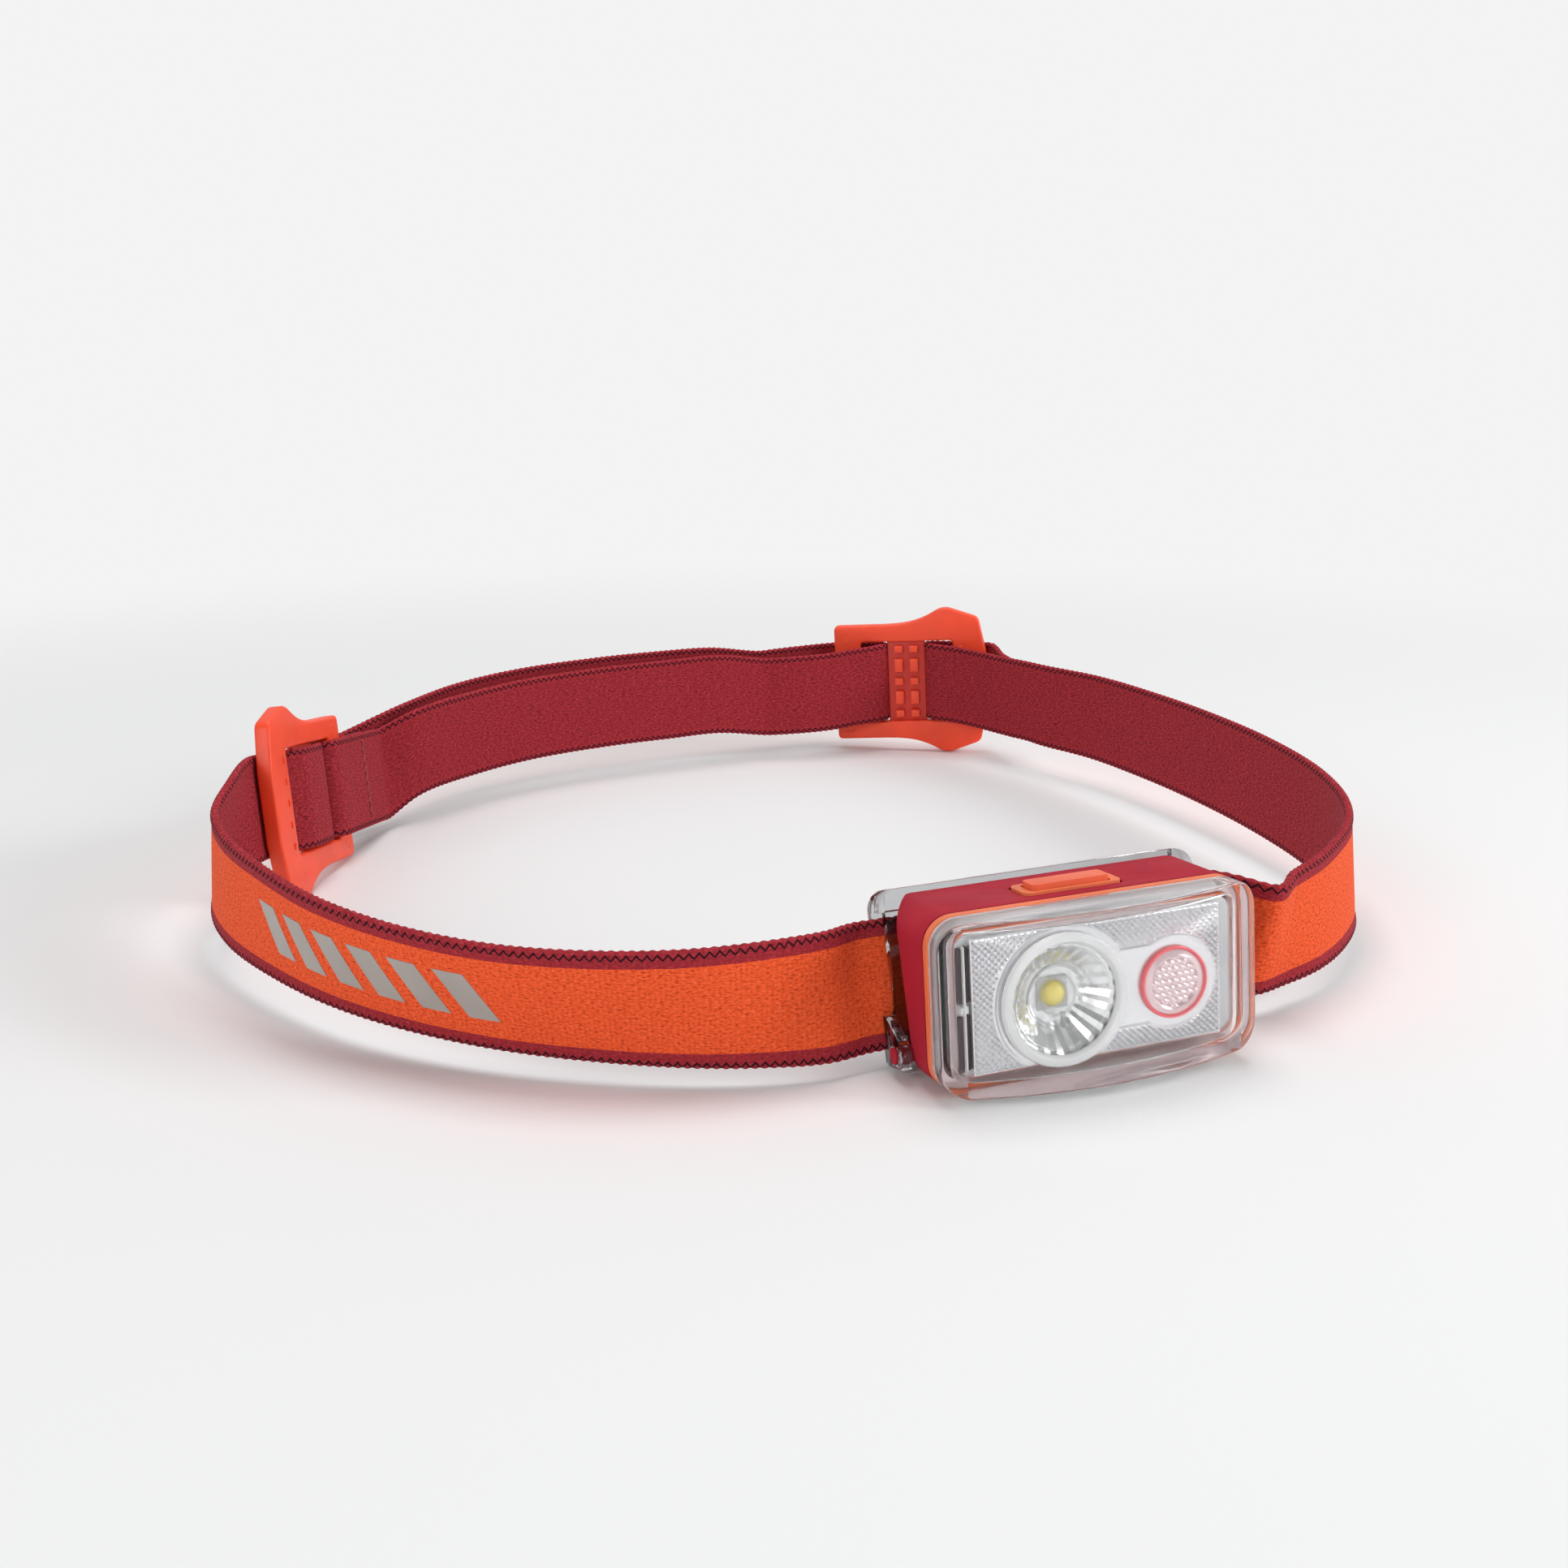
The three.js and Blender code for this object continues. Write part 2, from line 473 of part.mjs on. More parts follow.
// Group whose x is the buckle's length, z its inward face; flip turns it half round in its own plane.
function buckleFrame({ end, heading, lean }, pitch, centreHeight, flip) {
  const along = vec(Math.cos(degrees(heading)), Math.sin(degrees(heading)), 0);
  const side = vec(-along.y, along.x, 0);
  const upright = vec(0, 0, Math.cos(degrees(lean))).addScaledVector(side, Math.sin(degrees(lean)));
  const x = along.clone().multiplyScalar(Math.cos(pitch)).addScaledVector(upright, Math.sin(pitch));
  const up = upright.clone().multiplyScalar(Math.cos(pitch)).addScaledVector(along, -Math.sin(pitch));
  const y = flip ? up.negate() : up;
  const group = new THREE.Group();
  group.applyMatrix4(new THREE.Matrix4().makeBasis(x, y, x.clone().cross(y)));
  group.position.set(end[0], end[1], centreHeight);
  group.updateMatrixWorld(true);
  return group;
}

// Webbing of even thickness that follows a side view, drawn in the buckle's x-z plane.
function webbing(name, points) {
  const path = new THREE.CatmullRomCurve3(points.map(([x, z]) => vec(x, z, 0)), false, 'centripetal');
  const count = points.length * 3;
  const [near, far] = [[], []];
  for (let i = 0; i <= count; i += 1) {
    const at = path.getPointAt(i / count);
    const tangent = path.getTangentAt(i / count);
    const normal = new THREE.Vector2(-tangent.y, tangent.x).multiplyScalar(STRAP.thick / 2);
    near.push([at.x + normal.x, at.y + normal.y]);
    far.unshift([at.x - normal.x, at.y - normal.y]);
  }
  const half = STRAP.width / 2;
  const flat = alongZ(polygon([...near, ...far]), -half, half);
  return piece(name, flat.rotateX(Math.PI / 2), ORANGE_WEBBING());
}

// ---------------------------------------------------------------- free strap

// A station on the strap: its lower edge and its upright direction.
const station = (bottom, up) => ({ bottom, top: bottom.clone().addScaledVector(up, STRAP.width) });
const fromFrame = (frame, middle, upAxis) => {
  const centre = frame.localToWorld(middle);
  const up = vec(...upAxis).transformDirection(frame.matrixWorld);
  return station(centre.clone().addScaledVector(up, -STRAP.width / 2), up);
};

// Free stations are [x, y, height of the lower edge, outward lean in degrees], walked clockwise.
function freeStations(rows) {
  return rows.map(([x, y, z, lean], i) => {
    const before = rows[Math.max(i - 1, 0)];
    const after = rows[Math.min(i + 1, rows.length - 1)];
    const along = vec(after[0] - before[0], after[1] - before[1], 0).normalize();
    const outward = vec(-along.y, along.x, 0);
    const up = vec(0, 0, Math.cos(degrees(lean))).addScaledVector(outward, Math.sin(degrees(lean)));
    return station(vec(x, y, z), up);
  });
}

// The strap between two fractions of a run of stations, as one closed band.
function band(name, stations, from, to, steps) {
  const rail = (key) => new THREE.CatmullRomCurve3(stations.map((s) => s[key]), false, 'centripetal');
  const [low, high] = [rail('bottom'), rail('top')];
  const positions = [];
  for (let i = 0; i <= steps; i += 1) {
    const t = from + ((to - from) * i) / steps;
    const [b, a] = [low.getPoint(t), high.getPoint(t)];
    const rise = a.clone().sub(b).normalize();
    const side = low.getTangent(t).cross(rise).normalize().multiplyScalar(STRAP.thick / 2);
    for (const [edge, sign] of [[b, 1], [a, 1], [a, -1], [b, -1]])
      positions.push(...edge.clone().addScaledVector(side, sign).toArray());
  }
  const index = [];
  for (let i = 0; i < steps; i += 1)
    for (let k = 0; k < 4; k += 1) {
      const [p, q] = [4 * i + k, 4 * i + ((k + 1) % 4)];
      index.push(p, q, q + 4, p, q + 4, p + 4);
    }
  const last = 4 * steps;
  index.push(0, 2, 1, 0, 3, 2, last, last + 1, last + 2, last, last + 2, last + 3);
  const geometry = new THREE.BufferGeometry();
  geometry.setAttribute('position', new THREE.Float32BufferAttribute(positions, 3));
  geometry.setIndex(index);
  return piece(name, geometry, ORANGE_WEBBING());
}

// ---------------------------------------------------------------- assembly

const assembly = new THREE.Group();

const lamp = new THREE.Group();
lamp.position.set(...LAMP_CENTRE);
lamp.rotation.set(-degrees(LAMP_LEAN), -degrees(LAMP_ROLL), 0);
lamp.add(housing(), rearCover(), lensSeal(), lensCover(), opticPlate(), lightFrame());
lamp.add(mainLensRing(), mainLens(), mainLed(), secondaryRing(), secondaryLens(), redLed(), ledBoard());
lamp.add(battery(), batteryPad(), chargeSocket(), portCover());
lamp.add(batteryLead('battery_lead_positive', -3.6, 0xc02a2a));
lamp.add(batteryLead('battery_lead_negative', -5.4, 0x1f1f22));
lamp.add(buttonBezel(), powerButton(), switchPlunger(), switchBody());
CORNERS.forEach(([sx, sz], i) => lamp.add(rearScrew(`rear_screw_${i + 1}`, sx, sz)));

const holder = new THREE.Group();
holder.position.set(0, HOLDER_Y, 0);
holder.rotation.x = -degrees(BRACKET_LEAN);
holder.add(bracket(), browStrap());
lamp.add(holder);
assembly.add(lamp);
assembly.updateMatrixWorld(true);

// The slider stands on its open-armed end and its bulge, the back buckle on its bulge alone.
const { armHalf, bulgeHalf, bulgeAt } = BUCKLE;
const sliderPitch = Math.atan2(bulgeHalf - armHalf, bulgeAt);
const slider = buckleFrame(SLIDER, sliderPitch, armHalf * Math.cos(sliderPitch), true);
const rearPitch = degrees(REAR_BUCKLE.pitch);
const rear = buckleFrame(
  REAR_BUCKLE, rearPitch, bulgeHalf * Math.cos(rearPitch) - bulgeAt * Math.sin(rearPitch), false);
slider.add(buckle('buckle_side'));
rear.add(buckle('buckle_rear'));

// Side views of the webbing in the buckles: [distance from the open-armed end, depth towards the head].
const SIDE = 2.65; // middle of webbing that lies against a bar's face
const around = (x, facing, from, to) => [[x - facing * 1.4, from], [x + facing * 0.7, 0.87 * from],
  [x + facing * 2, 0.45 * from], [x + facing * 2.3, 0], [x + facing * 2, 0.45 * to],
  [x + facing * 0.7, 0.87 * to], [x - facing * 1.4, to]];
slider.add(webbing('strap_weave', [[46, -3.1], [38.8, -2.8], [31.6, -2.7], [29.9, -2.5], [28.8, -1.7],
  [25, 0.9], [23.2, 1.75], [20, 2.05], [16, 2.05], [13.2, 1.7], [11.8, 0.3], [11.1, -1.6], [9.4, -3.6],
  [6.4, -4.4], [1, -4.4], [-7, -4]]));
slider.add(webbing('strap_fold_side', [[-16, 2.9], [-8, 2.8], [0, SIDE],
  ...around(BUCKLE.endBar, 1, SIDE, -SIDE), [0, -SIDE], [-5, -0.7], [-9, 0.8], [-14, 1]]));
rear.add(webbing('strap_turn', [[-13, 12.6], [-6, 10.9], [0, 8.4], [5, 5.6], [9.4, 3.1], [11.9, 1],
  [11.9, -1], [9.4, -2.5], [5, -SIDE], [0, -SIDE], [-5, -0.9], [-10.4, 1.8], [-15, 4.4]]));
rear.add(webbing('strap_fold_rear', [[46, 16.2], [42, 12.2], [36, 6.8], [30.4, 3.4], [25.9, 1.2],
  [24.8, -0.4], [26.3, -2.1], [30.4, -SIDE], [37.6, -2.75], [40.4, -1.6], [42, 3], [43.4, 8.4],
  [45.6, 13.1]]));
assembly.add(slider, rear);

const inBracket = (x) => fromFrame(holder, vec(x, BRACKET.thick + GAP + STRAP.thick / 2, 0), [0, 0, 1]);
const inSlider = (x, depth) => fromFrame(slider, vec(x, 0, depth), [0, -1, 0]);
const inRear = (x, depth) => fromFrame(rear, vec(x, 0, depth), [0, 1, 0]);

const leftRun = [inBracket(-27.7), inBracket(-30.5),
  ...freeStations([[-37, 11.6, 2.5, -11], [-46, 12.6, 2.7, 0], [-57.5, 16.3, 2.9, 10], [-70, 22.3, 3.3, 16],
    [-82, 30, 3.7, 18], [-93.5, 40.2, 4.2, 16], [-104, 53, 4.8, 11], [-112.5, 69, 5.4, 4],
    [-118.4, 86, 6, -1], [-120, 100, 7.2, -4], [-117.6, 111.5, 9.3, -7]]),
  inSlider(46.3, -3.1)];
const rightRun = [inRear(46.3, 16.5), inRear(49, 19.2),
  ...freeStations([[79, 167, 7.7, 0], [82.8, 151, 7.5, -3], [85.6, 130, 7.2, -5], [86.5, 110, 6.9, -6],
    [86, 88, 6.4, -6], [83.7, 66, 5.6, -3], [79, 48, 4.9, 2], [72, 34.5, 4.5, 6], [62.5, 24.5, 4.2, 7],
    [53, 18, 3.9, 4], [44, 14.6, 3.6, -2], [37, 12.6, 3.5, -10]]),
  inBracket(30.5), inBracket(27.7)];
const outerRun = [inSlider(-7.3, -4), inSlider(-12, -3.6),
  ...freeStations([[-73, 182.5, 5.8, 2], [-58, 195.5, 7, 3], [-42, 203.6, 7.8, 3], [-22, 208.8, 8.3, 2],
    [-6, 211.6, 8.4, 1], [8, 213.4, 8.2, 0]]),
  inRear(-19, 6.6), inRear(-15.3, 4.55)];
const innerRun = [inSlider(-16.3, 2.9), inSlider(-20, 3.1),
  ...freeStations([[-72, 177.6, 5.6, 2], [-57, 189.4, 6.4, 3], [-41, 197.4, 7, 3], [-22, 202.6, 7.3, 2],
    [-6, 205, 7.4, 1], [8, 206.4, 7.5, 0]]),
  inRear(-17, 13.4), inRear(-13.3, 12.7)];

assembly.add(band('strap_left', leftRun, 0, 0.83, 40), band('strap_stretch_front', leftRun, 0.8325, 1, 8));
assembly.add(band('strap_right', rightRun, 0, 1, 56));
assembly.add(band('strap_stretch_outer', outerRun, 0, 0.247, 6));
assembly.add(band('strap_outer', outerRun, 0.25, 1, 26));
assembly.add(band('strap_stretch_inner', innerRun, 0, 0.247, 6));
assembly.add(band('strap_inner', innerRun, 0.25, 1, 26));

// The origin is the middle of the bounding box on the ground.
assembly.updateMatrixWorld(true);
const bounds = new THREE.Box3().setFromObject(assembly, true);
const middle = bounds.getCenter(vec(0, 0, 0));
assembly.position.set(-middle.x, -middle.y, -bounds.min.z);
assembly.updateMatrixWorld(true);

export default assembly;
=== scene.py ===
"""Looks of a compact headlamp on an elastic head strap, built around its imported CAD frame.

Lengths are in millimetres in the design's own frames, and are turned into metres as each mesh is made.
"""

import json
import math

import bmesh
import bpy
import numpy as np
from mathutils import Matrix, Vector


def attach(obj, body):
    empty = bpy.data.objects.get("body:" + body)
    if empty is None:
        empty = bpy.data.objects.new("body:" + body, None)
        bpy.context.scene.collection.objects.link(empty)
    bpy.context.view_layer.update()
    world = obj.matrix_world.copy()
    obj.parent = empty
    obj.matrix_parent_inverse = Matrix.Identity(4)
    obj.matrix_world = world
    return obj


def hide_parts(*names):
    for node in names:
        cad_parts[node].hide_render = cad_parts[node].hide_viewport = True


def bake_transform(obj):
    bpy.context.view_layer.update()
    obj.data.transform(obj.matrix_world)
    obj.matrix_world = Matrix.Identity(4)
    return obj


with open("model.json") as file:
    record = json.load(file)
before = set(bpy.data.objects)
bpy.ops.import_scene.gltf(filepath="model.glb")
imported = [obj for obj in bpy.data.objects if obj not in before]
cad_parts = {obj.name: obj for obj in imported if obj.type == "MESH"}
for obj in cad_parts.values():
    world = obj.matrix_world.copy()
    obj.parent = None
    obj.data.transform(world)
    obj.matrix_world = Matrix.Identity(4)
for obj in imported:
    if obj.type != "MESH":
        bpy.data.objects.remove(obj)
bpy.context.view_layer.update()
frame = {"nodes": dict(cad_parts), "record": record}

MM = 0.001
STRAP_WIDTH = 20.0
STRAP_HALF = STRAP_WIDTH / 2
GAP = 0.3
LAMP_CENTRE = Vector((0.2, 0.8, 14.8))  # middle of the lens cover's back plane, above the ground
HINGE = Vector((0, 9, -9.8))  # trunnion axis in the lamp's frame
BACK_PLANE = 12.9  # lamp depth at which the bracket's plate starts
BRACKET_LEAN = 12
ON_BAR = 2.65  # depth of the middle of webbing that lies on a bar
END_BAR = 6.6  # slot edge of the buckle's end bar
BULGE_BAR = 30.4  # slot edge of its bulged bar

JOINTS = {joint["name"]: joint for joint in frame["record"]["behaviour"]["joints"]}

# -------------------- frames


def axes(x, y, z, origin):
    """Matrix whose columns are three directions and an origin, from millimetres to metres."""
    columns = [list(v * MM) for v in (x, y, z)] + [list(origin)]
    return Matrix([[columns[c][r] for c in range(4)] for r in range(3)] + [[0, 0, 0, 1]])


lamp_x = Vector(JOINTS["lamp_tilt"]["axis"]).normalized()
lamp_z = -Vector(JOINTS["button_press"]["axis"]).normalized()
lamp_y = lamp_z.cross(lamp_x)
lamp_origin = Vector(JOINTS["lamp_tilt"]["pos_m"]) - (lamp_y * HINGE.y + lamp_z * HINGE.z) * MM
LAMP = axes(lamp_x, lamp_y, lamp_z, lamp_origin)
HOLDER = LAMP @ Matrix.Translation((0, BACK_PLANE, 0)) @ Matrix.Rotation(-math.radians(BRACKET_LEAN), 4, "X")
GROUND = Matrix.Translation(lamp_origin - LAMP_CENTRE * MM) @ Matrix.Scale(MM, 4)


def buckle_frame(end, heading, lean, pitch, height, flip):
    """Frame whose x runs from the buckle's plain end to its bulged end and whose z faces the head."""
    along = Vector((math.cos(heading), math.sin(heading), 0))
    side = Vector((-along.y, along.x, 0))
    upright = Vector((0, 0, math.cos(lean))) + side * math.sin(lean)
    x = along * math.cos(pitch) + upright * math.sin(pitch)
    up = upright * math.cos(pitch) - along * math.sin(pitch)
    y = -up if flip else up
    return axes(x, y, x.cross(y), GROUND @ Vector((end[0], end[1], height)))


ARM_HALF, BULGE_HALF, BULGE_AT = 14.8, 18.75, 28.1  # half heights of a buckle, and where it is tallest
slider_pitch = math.atan2(BULGE_HALF - ARM_HALF, BULGE_AT)
rear_pitch = math.radians(3)
SLIDER = buckle_frame(end=(-91.4, 157.2), heading=math.radians(-114.8), lean=math.radians(-7.1),
                      pitch=slider_pitch, height=ARM_HALF * math.cos(slider_pitch), flip=True)
REAR = buckle_frame(end=(41.6, 212), heading=math.radians(-27.6), lean=0, pitch=rear_pitch,
                    height=BULGE_HALF * math.cos(rear_pitch) - BULGE_AT * math.sin(rear_pitch), flip=False)

# -------------------- camera


def make_camera():
    """The photograph's camera, as fitted to the strap's width."""
    focal_px, frame_px, sensor = 2300, 1932, 36
    heading, pitch = math.radians(19.62), math.radians(14.5)
    data = bpy.data.cameras.new("camera")
    data.sensor_width = sensor
    data.lens = sensor * focal_px / frame_px
    data.clip_start = 0.01
    camera = bpy.data.objects.new("camera", data)
    camera.location = GROUND @ Vector((-130.7, -230.69, 112.8))
    camera.rotation_euler = (math.pi / 2 - pitch, 0, -heading)
    bpy.context.scene.collection.objects.link(camera)
    bpy.context.scene.camera = camera


make_camera()

# -------------------- material helpers


class NodeTree:
    """A node tree, and short ways to add nodes to it."""

    def __init__(self, tree):
        self.tree = tree

    def node(self, kind, inputs=None, **settings):
        made = self.tree.nodes.new(kind)
        for key, value in settings.items():
            setattr(made, key, value)
        for key, value in (inputs or {}).items():
            self.feed(made.inputs[key], value)
        return made

    def feed(self, socket, value):
        if isinstance(value, bpy.types.NodeSocket):
            self.tree.links.new(value, socket)
        else:
            socket.default_value = value

    def math(self, operation, *values):
        made = self.node("ShaderNodeMath", operation=operation)
        for socket, value in zip(made.inputs, values):
            self.feed(socket, value)
        return made.outputs[0]


class Shader(NodeTree):
    """A Principled material, and short ways to wire nodes into it."""

    def __init__(self, name, color, roughness, **sockets):
        self.material = bpy.data.materials.new(name)
        self.material.use_nodes = True
        super().__init__(self.material.node_tree)
        self.bsdf = self.tree.nodes["Principled BSDF"]
        self.set("Base Color", (*color, 1))
        self.set("Roughness", roughness)
        for socket, value in sockets.items():
            self.set(socket.replace("_", " "), value)

    def set(self, socket, value):
        self.bsdf.inputs[socket].default_value = value

    def link(self, output, socket):
        self.tree.links.new(output, self.bsdf.inputs[socket])

    def noise(self, scale, detail=3, roughness=0.5, vector=None):
        vector = vector or self.node("ShaderNodeTexCoord").outputs["Object"]
        made = self.node("ShaderNodeTexNoise",
                         {"Vector": vector, "Scale": scale, "Detail": detail, "Roughness": roughness})
        return made.outputs["Fac"]

    def ramp(self, factor, stops):
        made = self.node("ShaderNodeValToRGB", {"Fac": factor})
        elements = made.color_ramp.elements
        for _ in stops[2:]:
            elements.new(0.5)
        for element, (position, color) in zip(elements, stops):
            element.position = position
            element.color = (*color, 1)
        return made.outputs["Color"]

    def mix(self, factor, a, b):
        made = self.node("ShaderNodeMix", data_type="RGBA")
        self.feed(made.inputs["Factor"], factor)
        self.feed(made.inputs["A"], a if isinstance(a, bpy.types.NodeSocket) else (*a, 1))
        self.feed(made.inputs["B"], b if isinstance(b, bpy.types.NodeSocket) else (*b, 1))
        return made.outputs["Result"]

    def bump(self, height, strength, distance):
        made = self.node("ShaderNodeBump", {"Height": height, "Strength": strength, "Distance": distance})
        self.link(made.outputs["Normal"], "Normal")


def shade(color, factor):
    return tuple(min(1, channel * factor) for channel in color)


def moulded(name, color, roughness=0.45, grain=2600, texture=0.25, variation=0.08, **sockets):
    """Moulded plastic or rubber: a fine skin texture and slight unevenness in colour and gloss."""
    shader = Shader(name, color, roughness, **sockets)
    broad = shader.noise(90, 2)
    shader.link(shader.ramp(broad, [(0.3, shade(color, 1 - variation)), (0.7, shade(color, 1 + variation))]),
                "Base Color")
    gloss = shader.node("ShaderNodeMapRange", {"Value": shader.noise(400, 4), "To Min": roughness - 0.06,
                                               "To Max": roughness + 0.08})
    shader.link(gloss.outputs["Result"], "Roughness")
    shader.bump(shader.noise(grain, 2, 0.6), texture, 0.00004)
    return shader.material


def clear(name, color=(0.97, 0.98, 0.98), roughness=0.03, alpha=1.0, ior=1.49, waviness=0.05, **sockets):
    """Clear moulded plastic with the faint waviness of a moulding."""
    shader = Shader(name, color, roughness, Transmission_Weight=1.0, IOR=ior, Alpha=alpha, **sockets)
    gloss = shader.node("ShaderNodeMapRange", {"Value": shader.noise(220, 3), "To Min": roughness,
                                               "To Max": roughness + 0.02})
    shader.link(gloss.outputs["Result"], "Roughness")
    shader.bump(shader.noise(160, 2), waviness, 0.0001)
    return shader.material


ORANGE = (0.93, 0.112, 0.032)
# The shaded and lit copies of the orange and the lit burgundy are painted shade and painted highlight on the
# knit's loops.
ORANGE_SHADED = (0.50, 0.035, 0.012)
ORANGE_LIT = (0.98, 0.17, 0.058)
BURGUNDY = (0.35, 0.027, 0.038)
BURGUNDY_DARK = (0.035, 0.006, 0.012)
BURGUNDY_LIT = (0.53, 0.055, 0.068)


def webbing_material(name, body, body_shaded, body_lit, border, loops, randomness):
    """Knitted elastic. UV x is the length and UV y the width, both in strap widths.

    Short loops lie along the length, their crowns painted lighter as a highlight and the gaps between them
    painted darker as shade; the border is a plain knit painted the same way, and a dark zigzag runs along
    both edges.
    """
    shader = Shader(name, body, 0.85, Sheen_Weight=0.04, Sheen_Roughness=0.4, Specular_IOR_Level=0.08)
    uv = shader.node("ShaderNodeUVMap", uv_map="UVMap").outputs["UV"]
    parts = shader.node("ShaderNodeSeparateXYZ", {"Vector": uv})
    length, across = parts.outputs["X"], parts.outputs["Y"]
    calc = shader.math

    loops_along, loops_across = loops
    stretched = shader.node("ShaderNodeMapping", {"Vector": uv, "Scale": (loops_along, loops_across, 1)})
    cells = shader.node("ShaderNodeTexVoronoi", {"Vector": stretched.outputs["Vector"], "Scale": 1.0,
                                                 "Randomness": randomness}, voronoi_dimensions="2D")
    fuzz = shader.noise(1.0, 3, 0.6, stretched.outputs["Vector"])
    loop = calc("ADD", calc("MULTIPLY", cells.outputs["Distance"], 0.3), fuzz)
    # Painted highlight on the loop crowns and painted shade in the gaps between loops.
    knit = shader.ramp(loop, [(0.42, body_lit), (0.58, body), (0.7, shade(body, 0.84)), (0.84, body_shaded)])
    worn = shader.noise(3, 3, 0.5, uv)
    knit = shader.mix(calc("MULTIPLY", worn, 0.3), knit, shade(body, 0.72))

    from_edge = calc("SUBTRACT", 0.5, calc("ABSOLUTE", calc("SUBTRACT", across, 0.5)))
    ragged = calc("ADD", from_edge, calc("MULTIPLY", calc("SUBTRACT", fuzz, 0.5), 0.03))
    in_border = calc("LESS_THAN", ragged, border)
    # The border knit gets the same painted highlight and painted shade.
    edge_knit = shader.ramp(loop, [(0.3, BURGUNDY_LIT), (0.6, BURGUNDY), (1.0, shade(BURGUNDY, 0.5))])
    color = shader.mix(in_border, knit, edge_knit)

    pitch, nearest, reach, half_thread = 0.0725, 0.02, 0.042, 0.007
    phase = calc("FRACT", calc("DIVIDE", length, pitch))
    wave = calc("ABSOLUTE", calc("SUBTRACT", calc("MULTIPLY", phase, 2.0), 1.0))
    zigzag = calc("ADD", nearest, calc("MULTIPLY", wave, reach))
    off = calc("ABSOLUTE", calc("SUBTRACT", from_edge, zigzag))
    half_width = calc("ADD", half_thread, calc("MULTIPLY", fuzz, 0.008))
    stitch = calc("LESS_THAN", off, half_width)
    color = shader.mix(stitch, color, BURGUNDY_DARK)
    shader.link(color, "Base Color")

    height = calc("SUBTRACT", calc("MULTIPLY", loop, -1.0), stitch)
    shader.bump(height, 0.6, 0.0003)
    return shader.material


# The lit and shaded colours passed here are the knit's painted highlight and painted shade.
WEBBING_FACE = webbing_material("webbing_face", ORANGE, ORANGE_SHADED, ORANGE_LIT, 0.135, (26, 54), 0.55)
WEBBING_BACK = webbing_material("webbing_back", BURGUNDY, shade(BURGUNDY, 0.4), BURGUNDY_LIT, 0.1,
                                (22, 62), 0.9)
THREAD = moulded("stitch_thread", (0.33, 0.04, 0.05), 0.8, Sheen_Weight=0.3)
REFLECTIVE = moulded("reflective_print", (0.42, 0.39, 0.36), 0.38, grain=5200, texture=0.5, Metallic=0.35)

HOUSING_RED = moulded("housing_red", (0.41, 0.018, 0.036), 0.6, grain=3200, texture=0.3,
                      Specular_IOR_Level=0.1)
SEAL_ORANGE = moulded("seal_orange", (0.82, 0.17, 0.06), 0.5)
BUTTON_ORANGE = moulded("button_orange", (0.86, 0.13, 0.045), 0.45)
BUCKLE_ORANGE = moulded("buckle_orange", (0.92, 0.068, 0.017), 0.42, grain=1700, texture=0.3,
                        Subsurface_Weight=0.12, Subsurface_Radius=(0.004, 0.001, 0.0005),
                        Subsurface_Scale=1.0)
# Darker orange of the recessed centre bar: partly its thinner plastic, partly painted shade.
BUCKLE_BAR_SHADED = moulded("buckle_centre_painted_shade", (0.6, 0.026, 0.01), 0.38, grain=1700, texture=0.3)
FLAP_RED = moulded("flap_red", (0.27, 0.016, 0.03), 0.62)
PALE_FRAME = moulded("pale_frame", (0.72, 0.72, 0.73), 0.35)
FROSTED = moulded("frosted_ring", (0.93, 0.935, 0.94), 0.3, texture=0.04, Transmission_Weight=0.25,
                  IOR=1.45)
RING_RED = moulded("ring_red", (0.86, 0.13, 0.15), 0.3)
MIRROR = moulded("facets", (0.96, 0.965, 0.98), 0.12, texture=0.05, variation=0.04, Metallic=0.72)
LED_YELLOW = moulded("led_phosphor", (0.86, 0.72, 0.2), 0.25, grain=4000, Coat_Weight=0.6)
LED_RED = moulded("led_red", (0.6, 0.03, 0.05), 0.2, Coat_Weight=0.6)
STEEL = moulded("plated_steel", (0.62, 0.63, 0.65), 0.28, texture=0.1, Metallic=1.0)
BOARD = moulded("board_green", (0.03, 0.16, 0.07), 0.4)
CELL = moulded("cell_foil", (0.6, 0.62, 0.64), 0.32, Metallic=0.9)
FOAM = moulded("foam_black", (0.02, 0.02, 0.022), 0.9, grain=900, texture=0.9)
WIRE_RED = moulded("lead_red", (0.5, 0.02, 0.02), 0.45)
WIRE_BLACK = moulded("lead_black", (0.015, 0.015, 0.017), 0.45)
# Near-black blocks that stand in for the shade inside the frame's slots: painted shade.
SLOT_SHADE = moulded("painted_slot_shade", (0.05, 0.018, 0.022), 0.6)
WINDOW_CLEAR = clear("window_clear", roughness=0.0, alpha=0.22, ior=1.06, waviness=0.02, Coat_Weight=1.0,
                     Coat_Roughness=0.02)
COVER_CLEAR = clear("cover_clear", roughness=0.02, alpha=0.85, ior=1.42)
# Grey tint on the clear bracket stands in for the dark streaks of its thick clear bars: painted shade.
BRACKET_CLEAR = clear("bracket_clear", (0.62, 0.63, 0.64), 0.02, waviness=0.06)
KNURL = moulded("knurled_panel", (0.86, 0.86, 0.88), 0.15, texture=0.04, variation=0.03, Metallic=0.72)
LENS_CLEAR = clear("lens_clear", roughness=0.0, alpha=0.55, ior=1.3, waviness=0.02, Coat_Weight=0.6)
LENS_PINK = moulded("lens_pink", (0.84, 0.66, 0.68), 0.12, texture=0.05, Metallic=0.35, Coat_Weight=0.8)


# -------------------- mesh helpers


